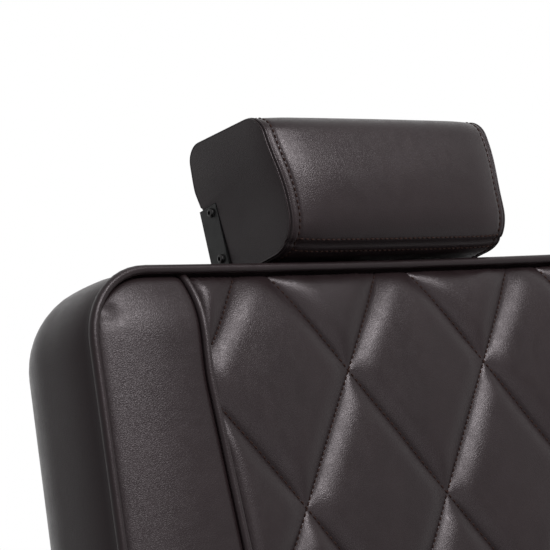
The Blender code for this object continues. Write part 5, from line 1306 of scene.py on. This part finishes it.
def new_group(name, inputs, outputs):
    """Shader node group with number inputs and outputs, and its sockets from inside."""
    group = bpy.data.node_groups.new(name, "ShaderNodeTree")
    for label, value in inputs.items():
        socket = group.interface.new_socket(name=label, in_out="INPUT", socket_type="NodeSocketFloat")
        socket.default_value = value
    for label in outputs:
        group.interface.new_socket(name=label, in_out="OUTPUT", socket_type="NodeSocketFloat")
    return group, put(group, "NodeGroupInput").outputs, put(group, "NodeGroupOutput").inputs


def spread(tree, value, low, high):
    """Bring a noise value to a range."""
    limits = {"From Min": 0.3, "From Max": 0.7, "To Min": low, "To Max": high}
    return put(tree, "ShaderNodeMapRange", {"Value": value, **limits}).outputs["Result"]


def math_node(tree, operation, first, second):
    """Result of an operation on two values."""
    return put(tree, "ShaderNodeMath", {0: first, 1: second}, operation=operation).outputs[0]


def vector_node(tree, operation, first, second):
    """Result of an operation on two vectors."""
    return put(tree, "ShaderNodeVectorMath", {0: first, 1: second}, operation=operation).outputs[0]


def blotches(tree, place, scale, detail, roughness=0.5):
    """Outputs of a noise texture."""
    values = {"Vector": place, "Scale": scale, "Detail": detail, "Roughness": roughness}
    return put(tree, "ShaderNodeTexNoise", values).outputs


def object_place(tree):
    """Places in the object's own frame."""
    return put(tree, "ShaderNodeTexCoord").outputs["Object"]


def leather_grain_group():
    """Pebbled grain of coated leather: height, slow tone and gloss."""
    inputs = {"Pebbles": 800.0, "Patches": 16.0, "Across": 1.0, "Along": 1.0}
    group, given, result = new_group("leather_grain", inputs, ("Height", "Tone", "Gloss"))
    stretch = put(group, "ShaderNodeCombineXYZ", {"X": given["Across"], "Y": given["Along"], "Z": 1.0})
    place = vector_node(group, "MULTIPLY", object_place(group), stretch.outputs[0])
    stray = blotches(group, place, 420.0, 2.0)["Color"]
    shift = put(group, "ShaderNodeVectorMath", {0: stray, "Scale": 0.0012}, operation="SCALE").outputs[0]
    bent = {"Vector": vector_node(group, "ADD", place, shift), "Scale": given["Pebbles"]}
    cells = put(group, "ShaderNodeTexVoronoi", bent, feature="DISTANCE_TO_EDGE").outputs["Distance"]
    rounded = {"Value": cells, "From Max": 0.28}
    pebble = put(group, "ShaderNodeMapRange", rounded, interpolation_type="SMOOTHSTEP").outputs[0]
    creases = spread(group, blotches(group, place, 150.0, 3.0)[0], 0.8, 1.0)
    group.links.new(math_node(group, "MULTIPLY", pebble, creases), result["Height"])
    tone = blotches(group, place, given["Patches"], 3.0)[0]
    group.links.new(spread(group, tone, 0.0, 1.0), result["Tone"])
    worn = blotches(group, place, 75.0, 2.0)[0]
    group.links.new(spread(group, worn, 0.0, 1.0), result["Gloss"])
    return group


def mottle_group():
    """Fine unevenness of a coated, cast or moulded surface: height, and two slow masks."""
    inputs = {"Fine": 900.0, "Patches": 30.0}
    group, given, result = new_group("mottle", inputs, ("Height", "Tone", "Gloss"))
    place = object_place(group)
    group.links.new(blotches(group, place, given["Fine"], 2.0)[0], result["Height"])
    tone = blotches(group, place, given["Patches"], 4.0)[0]
    group.links.new(spread(group, tone, 0.0, 1.0), result["Tone"])
    faster = math_node(group, "MULTIPLY", given["Patches"], 3.7)
    streaks = blotches(group, place, faster, 6.0, 0.7)[0]
    group.links.new(spread(group, streaks, 0.0, 1.0), result["Gloss"])
    return group


def edge_wear_group():
    """Mask of rubbed edges, broken up along their length."""
    group, given, result = new_group("edge_wear", {"Width": 0.0012, "Breaks": 160.0}, ("Mask",))
    bevel = put(group, "ShaderNodeBevel", {"Radius": given["Width"]}, samples=4).outputs[0]
    flat = put(group, "ShaderNodeNewGeometry").outputs["Normal"]
    facing = put(group, "ShaderNodeVectorMath", {0: bevel, 1: flat}, operation="DOT_PRODUCT").outputs["Value"]
    bent = math_node(group, "SUBTRACT", 1.0, facing)
    edge = put(group, "ShaderNodeMapRange", {"Value": bent, "From Min": 0.02, "From Max": 0.14}).outputs[0]
    breaks = spread(group, blotches(group, object_place(group), given["Breaks"], 4.0)[0], 0.0, 1.0)
    group.links.new(math_node(group, "MULTIPLY", edge, breaks), result["Mask"])
    return group


def shared_group(tree, name, inputs=None):
    """Outputs of one of the shader node groups, which is made the first time it is needed."""
    makers = {"leather_grain": leather_grain_group, "mottle": mottle_group, "edge_wear": edge_wear_group}
    group = bpy.data.node_groups.get(name) or makers[name]()
    return put(tree, "ShaderNodeGroup", inputs, node_tree=group).outputs


def new_material(name, metallic=0.0, specular=0.5):
    """Material with its Principled shader and constant values."""
    material = bpy.data.materials.new(name)
    material.use_nodes = True
    tree = material.node_tree
    shader = tree.nodes["Principled BSDF"]
    shader.inputs["Metallic"].default_value = metallic
    shader.inputs["Specular IOR Level"].default_value = specular
    return material, tree, shader


def shaded(shade, factor):
    """Colour made lighter or darker, with its alpha."""
    return (*[min(channel * factor, 1.0) for channel in shade], 1.0)


def two_tone(tree, shader, mask, dark, light):
    """Base colour between two tones by a mask."""
    mixed = put(tree, "ShaderNodeMix", {0: mask, 6: dark, 7: light}, data_type="RGBA").outputs[2]
    tree.links.new(mixed, shader.inputs["Base Color"])
    return mixed


def bumped(tree, shader, height, strength, distance):
    """Surface relief by a height."""
    bump = put(tree, "ShaderNodeBump", {"Height": height, "Strength": strength, "Distance": distance})
    tree.links.new(bump.outputs["Normal"], shader.inputs["Normal"])


def leather_material(name, shade, across, along):
    """Espresso coated leather, half glossy, its fine grain drawn out along or across the piece."""
    material, tree, shader = new_material(name, specular=0.20)
    shader.inputs["Specular Tint"].default_value = LEATHER_GLINT
    grain = shared_group(tree, "leather_grain", {"Across": across, "Along": along})
    two_tone(tree, shader, grain["Tone"], shaded(shade, 0.86), shaded(shade, 1.14))
    tree.links.new(spread(tree, grain["Gloss"], 0.31, 0.36), shader.inputs["Roughness"])
    bumped(tree, shader, grain["Height"], 0.17, 0.0004)
    return material


def surface_material(name, shade, metallic, specular, tones, roughness, fine, relief, patches=30.0, worn=0.0):
    """Metal, paint, rubber or thread: uneven tone, gloss and relief, with bare steel at edges that wear."""
    material, tree, shader = new_material(name, metallic, specular)
    mottle = shared_group(tree, "mottle", {"Fine": fine, "Patches": patches})
    base = two_tone(tree, shader, mottle["Tone"], *(shaded(shade, tone) for tone in tones))
    if worn:
        rubbed = math_node(tree, "MULTIPLY", shared_group(tree, "edge_wear")["Mask"], worn)
        two_tone(tree, shader, rubbed, base, BARE_STEEL)
    tree.links.new(spread(tree, mottle["Gloss"], *roughness), shader.inputs["Roughness"])
    bumped(tree, shader, mottle["Height"], *relief)
    return material


def plywood_material(name, shade):
    """Plywood, plain or stained: long grain, darker glue lines through its thickness."""
    material, tree, shader = new_material(name, specular=0.3)
    place = object_place(tree)
    drawn = put(tree, "ShaderNodeMapping", {"Vector": place, "Scale": (6.0, 90.0, 90.0)}).outputs[0]
    grain = blotches(tree, drawn, 2.0, 6.0)[0]
    bands = {"Vector": place, "Scale": 95.0, "Distortion": 0.4}
    plies = put(tree, "ShaderNodeTexWave", bands, bands_direction="Z").outputs["Fac"]
    mask = math_node(tree, "MULTIPLY", spread(tree, grain, 0.35, 1.0), plies)
    two_tone(tree, shader, mask, shaded(shade, 0.55), shaded(shade, 1.1))
    tree.links.new(spread(tree, grain, 0.55, 0.75), shader.inputs["Roughness"])
    bumped(tree, shader, grain, 0.15, 0.0004)
    return material


def finish_material(name):
    """One of the chair's finishes, made the first time it is needed."""
    found = bpy.data.materials.get(name)
    if found:
        return found
    colours = bpy.context.scene.chair_colours
    if name in LEATHERS:
        return leather_material(name, colours.leather, *LEATHERS[name])
    if name in PLYWOODS:
        return plywood_material(name, getattr(colours, PLYWOODS[name]))
    values = dict(SURFACES[name])
    return surface_material(name, getattr(colours, values.pop("colour")), **values)


def rounding_group():
    """Geometry nodes that shade a welded solid smooth, with its sharper folds left crisp."""
    group = bpy.data.node_groups.new("crisp_folds", "GeometryNodeTree")
    for in_out in ("INPUT", "OUTPUT"):
        group.interface.new_socket(name="Geometry", in_out=in_out, socket_type="NodeSocketGeometry")
    given = put(group, "NodeGroupInput").outputs[0]
    bend = put(group, "GeometryNodeInputMeshEdgeAngle").outputs["Unsigned Angle"]
    sharp = put(group, "FunctionNodeCompare", {0: bend, 1: CRISP_FOLD}, operation="GREATER_THAN").outputs[0]
    normals = put(group, "GeometryNodeSetMeshNormal", {"Mesh": given, "Edge Sharpness": sharp})
    put(group, "NodeGroupOutput", {0: normals.outputs[0]})
    return group


def finish_metal():
    """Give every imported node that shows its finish, with its edges softly broken."""
    folds = rounding_group()
    for finish, names in NODE_FINISHES.items():
        material = finish_material(finish)
        for name in names.split():
            node = frame["nodes"][name]
            node.data.materials.clear()
            node.data.materials.append(material)
            node.modifiers.new("weld", "WELD").merge_threshold = WELD
            bevel = node.modifiers.new("broken_edges", "BEVEL")
            bevel.width = BROKEN_EDGE
            bevel.segments = 2
            bevel.limit_method = "ANGLE"
            bevel.angle_limit = BROKEN_FOLD
            node.modifiers.new("crisp_folds", "NODES").node_group = folds
            node.modifiers.new("even_shading", "WEIGHTED_NORMAL").keep_sharp = True


def make_floor():
    """Pale round floor that keeps the chair's shadow."""
    bm = bmesh.new()
    rim = round_rings([(FLOOR_RADIUS, FLOOR_LEVEL)], FLOOR_SIDES)[0]
    bm.faces.new([bm.verts.new(point) for point in rim])
    floor = bpy.data.objects.new("floor", finished_mesh(bm))
    bpy.context.scene.collection.objects.link(floor)
    pale, tree, shader = new_material("pale_floor", specular=0.2)
    mottle = shared_group(tree, "mottle", {"Fine": 60.0, "Patches": 2.0})
    two_tone(tree, shader, mottle["Tone"], shaded(WHITE[:3], 0.78), shaded(WHITE[:3], 0.82))
    shader.inputs["Roughness"].default_value = 0.7
    shader.inputs["Emission Color"].default_value = WHITE
    glow = math_node(tree, "MULTIPLY", shown_rays(tree), FLOOR_GLOW)
    tree.links.new(glow, shader.inputs["Emission Strength"])
    floor.data.materials.append(pale)


def shown_rays(tree):
    """1 for the rays that show the surround: from the camera, off gloss and through glass."""
    path = put(tree, "ShaderNodeLightPath").outputs
    seen = math_node(tree, "MAXIMUM", path["Is Camera Ray"], path["Is Glossy Ray"])
    return math_node(tree, "MAXIMUM", seen, path["Is Transmission Ray"])


def make_camera(studio):
    """Camera where the photograph was taken from."""
    camera = bpy.data.objects.new("camera", bpy.data.cameras.new("camera"))
    bpy.context.scene.collection.objects.link(camera)
    camera.data.lens = studio.lens
    camera.data.sensor_width = SENSOR_WIDTH
    camera.location = studio.place
    level = math.cos(studio.pitch)
    ahead = Vector((math.sin(studio.yaw) * level, math.cos(studio.yaw) * level, -math.sin(studio.pitch)))
    camera.rotation_euler = ahead.to_track_quat("-Z", "Y").to_euler()
    bpy.context.scene.camera = camera


def add_softbox(name, size, watts, toward):
    """Softbox that faces the backrest from a direction."""
    light = bpy.data.lights.new(name, "AREA")
    light.shape = "RECTANGLE"
    light.size, light.size_y = size
    light.energy = watts
    softbox = bpy.data.objects.new(name, light)
    bpy.context.scene.collection.objects.link(softbox)
    outward = Vector(toward).normalized()
    softbox.location = SOFTBOX_TARGET + outward * SOFTBOX_DISTANCE
    softbox.rotation_euler = outward.to_track_quat("Z", "Y").to_euler()
    softbox.visible_camera = False


def make_surround(fill):
    """World that is white to look at and lights the chair evenly from all round."""
    world = bpy.data.worlds.new("studio")
    bpy.context.scene.world = world
    world.use_nodes = True
    tree = world.node_tree
    tree.nodes.clear()
    even = put(tree, "ShaderNodeBackground", {"Color": WHITE, "Strength": fill})
    white = put(tree, "ShaderNodeBackground", {"Color": WHITE, "Strength": 1.0})
    both = put(tree, "ShaderNodeMixShader", {0: shown_rays(tree), 1: even.outputs[0], 2: white.outputs[0]})
    put(tree, "ShaderNodeOutputWorld", {"Surface": both.outputs[0]})


def make_stage(studio):
    """Floor, camera, softboxes and surround."""
    bpy.context.scene.view_settings.view_transform = "Standard"
    make_floor()
    make_camera(studio)
    add_softbox("front_softbox", (0.95, 0.80), studio.front_power, (-0.07, -0.60, 0.79))
    add_softbox("side_softbox", (0.46, 0.46), studio.side_power, (0.22, -0.60, 0.77))
    add_softbox("low_softbox", (1.0, 0.80), studio.low_power, (0.05, -0.98, 0.15))
    make_surround(studio.fill)


class CHAIR_OT_back_cushion(bpy.types.Operator):
    """Sew the back cushion"""

    bl_idname = "chair.back_cushion"
    bl_label = "Back Cushion"

    def execute(self, context):
        make_back_cushion(context.scene.chair_upholstery)
        return {"FINISHED"}


class CHAIR_OT_headrest(bpy.types.Operator):
    """Sew the headrest and put in its screws"""

    bl_idname = "chair.headrest"
    bl_label = "Headrest"

    def execute(self, context):
        make_headrest(context.scene.chair_upholstery)
        make_headrest_screws()
        return {"FINISHED"}


class CHAIR_OT_seat_cushion(bpy.types.Operator):
    """Sew the seat cushion"""

    bl_idname = "chair.seat_cushion"
    bl_label = "Seat Cushion"

    def execute(self, context):
        make_seat_cushion(context.scene.chair_upholstery)
        return {"FINISHED"}


class CHAIR_OT_arm_pads(bpy.types.Operator):
    """Upholster the arms"""

    bl_idname = "chair.arm_pads"
    bl_label = "Arm Pads"

    def execute(self, context):
        make_arm_pads(context.scene.chair_upholstery)
        return {"FINISHED"}


class CHAIR_OT_calf_pad(bpy.types.Operator):
    """Upholster the legrest"""

    bl_idname = "chair.calf_pad"
    bl_label = "Calf Pad"

    def execute(self, context):
        make_calf_pad(context.scene.chair_upholstery)
        return {"FINISHED"}


class CHAIR_OT_rubber(bpy.types.Operator):
    """Mould the pedal's tread and the lever's grip"""

    bl_idname = "chair.rubber"
    bl_label = "Rubber Pieces"

    def execute(self, context):
        make_pedal_tread()
        make_lever_grip()
        return {"FINISHED"}


class CHAIR_OT_fasteners(bpy.types.Operator):
    """Put in the bolts"""

    bl_idname = "chair.fasteners"
    bl_label = "Fasteners"

    def execute(self, context):
        make_fasteners()
        return {"FINISHED"}


class CHAIR_OT_metal(bpy.types.Operator):
    """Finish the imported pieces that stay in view"""

    bl_idname = "chair.metal"
    bl_label = "Metal, Rubber and Wood"

    def execute(self, context):
        finish_metal()
        return {"FINISHED"}


class CHAIR_OT_stage(bpy.types.Operator):
    """Set up floor, camera and light"""

    bl_idname = "chair.stage"
    bl_label = "Stage"

    def execute(self, context):
        make_stage(context.scene.chair_studio)
        return {"FINISHED"}


class CHAIR_PT_looks(bpy.types.Panel):
    """Lists the chair's pieces and sizes."""

    bl_idname = "CHAIR_PT_looks"
    bl_label = "Barber Chair"
    bl_space_type = "VIEW_3D"
    bl_region_type = "UI"
    bl_category = "Chair"

    def draw(self, context):
        scene = context.scene
        for operator in OPERATORS:
            self.layout.operator(operator.bl_idname)
        for group in (scene.chair_upholstery, scene.chair_colours, scene.chair_studio):
            box = self.layout.box()
            for name in group.__annotations__:
                box.prop(group, name)


OPERATORS = (
    CHAIR_OT_back_cushion,
    CHAIR_OT_headrest,
    CHAIR_OT_seat_cushion,
    CHAIR_OT_arm_pads,
    CHAIR_OT_calf_pad,
    CHAIR_OT_rubber,
    CHAIR_OT_fasteners,
    CHAIR_OT_metal,
    CHAIR_OT_stage,
)
CLASSES = (ChairUpholstery, ChairColours, ChairStudio, *OPERATORS, CHAIR_PT_looks)


def register():
    """Make the panel, its properties and its operators known to Blender."""
    for item in CLASSES:
        bpy.utils.register_class(item)
    bpy.types.Scene.chair_upholstery = PointerProperty(type=ChairUpholstery)
    bpy.types.Scene.chair_colours = PointerProperty(type=ChairColours)
    bpy.types.Scene.chair_studio = PointerProperty(type=ChairStudio)


def unregister():
    """Take them away again."""
    del bpy.types.Scene.chair_studio
    del bpy.types.Scene.chair_colours
    del bpy.types.Scene.chair_upholstery
    for item in reversed(CLASSES):
        bpy.utils.unregister_class(item)


def main():
    """Dress the chair piece by piece."""
    register()
    bpy.ops.chair.back_cushion()
    bpy.ops.chair.headrest()
    bpy.ops.chair.seat_cushion()
    bpy.ops.chair.arm_pads()
    bpy.ops.chair.calf_pad()
    bpy.ops.chair.rubber()
    bpy.ops.chair.fasteners()
    bpy.ops.chair.metal()
    bpy.ops.chair.stage()


if __name__ == "__main__":
    main()
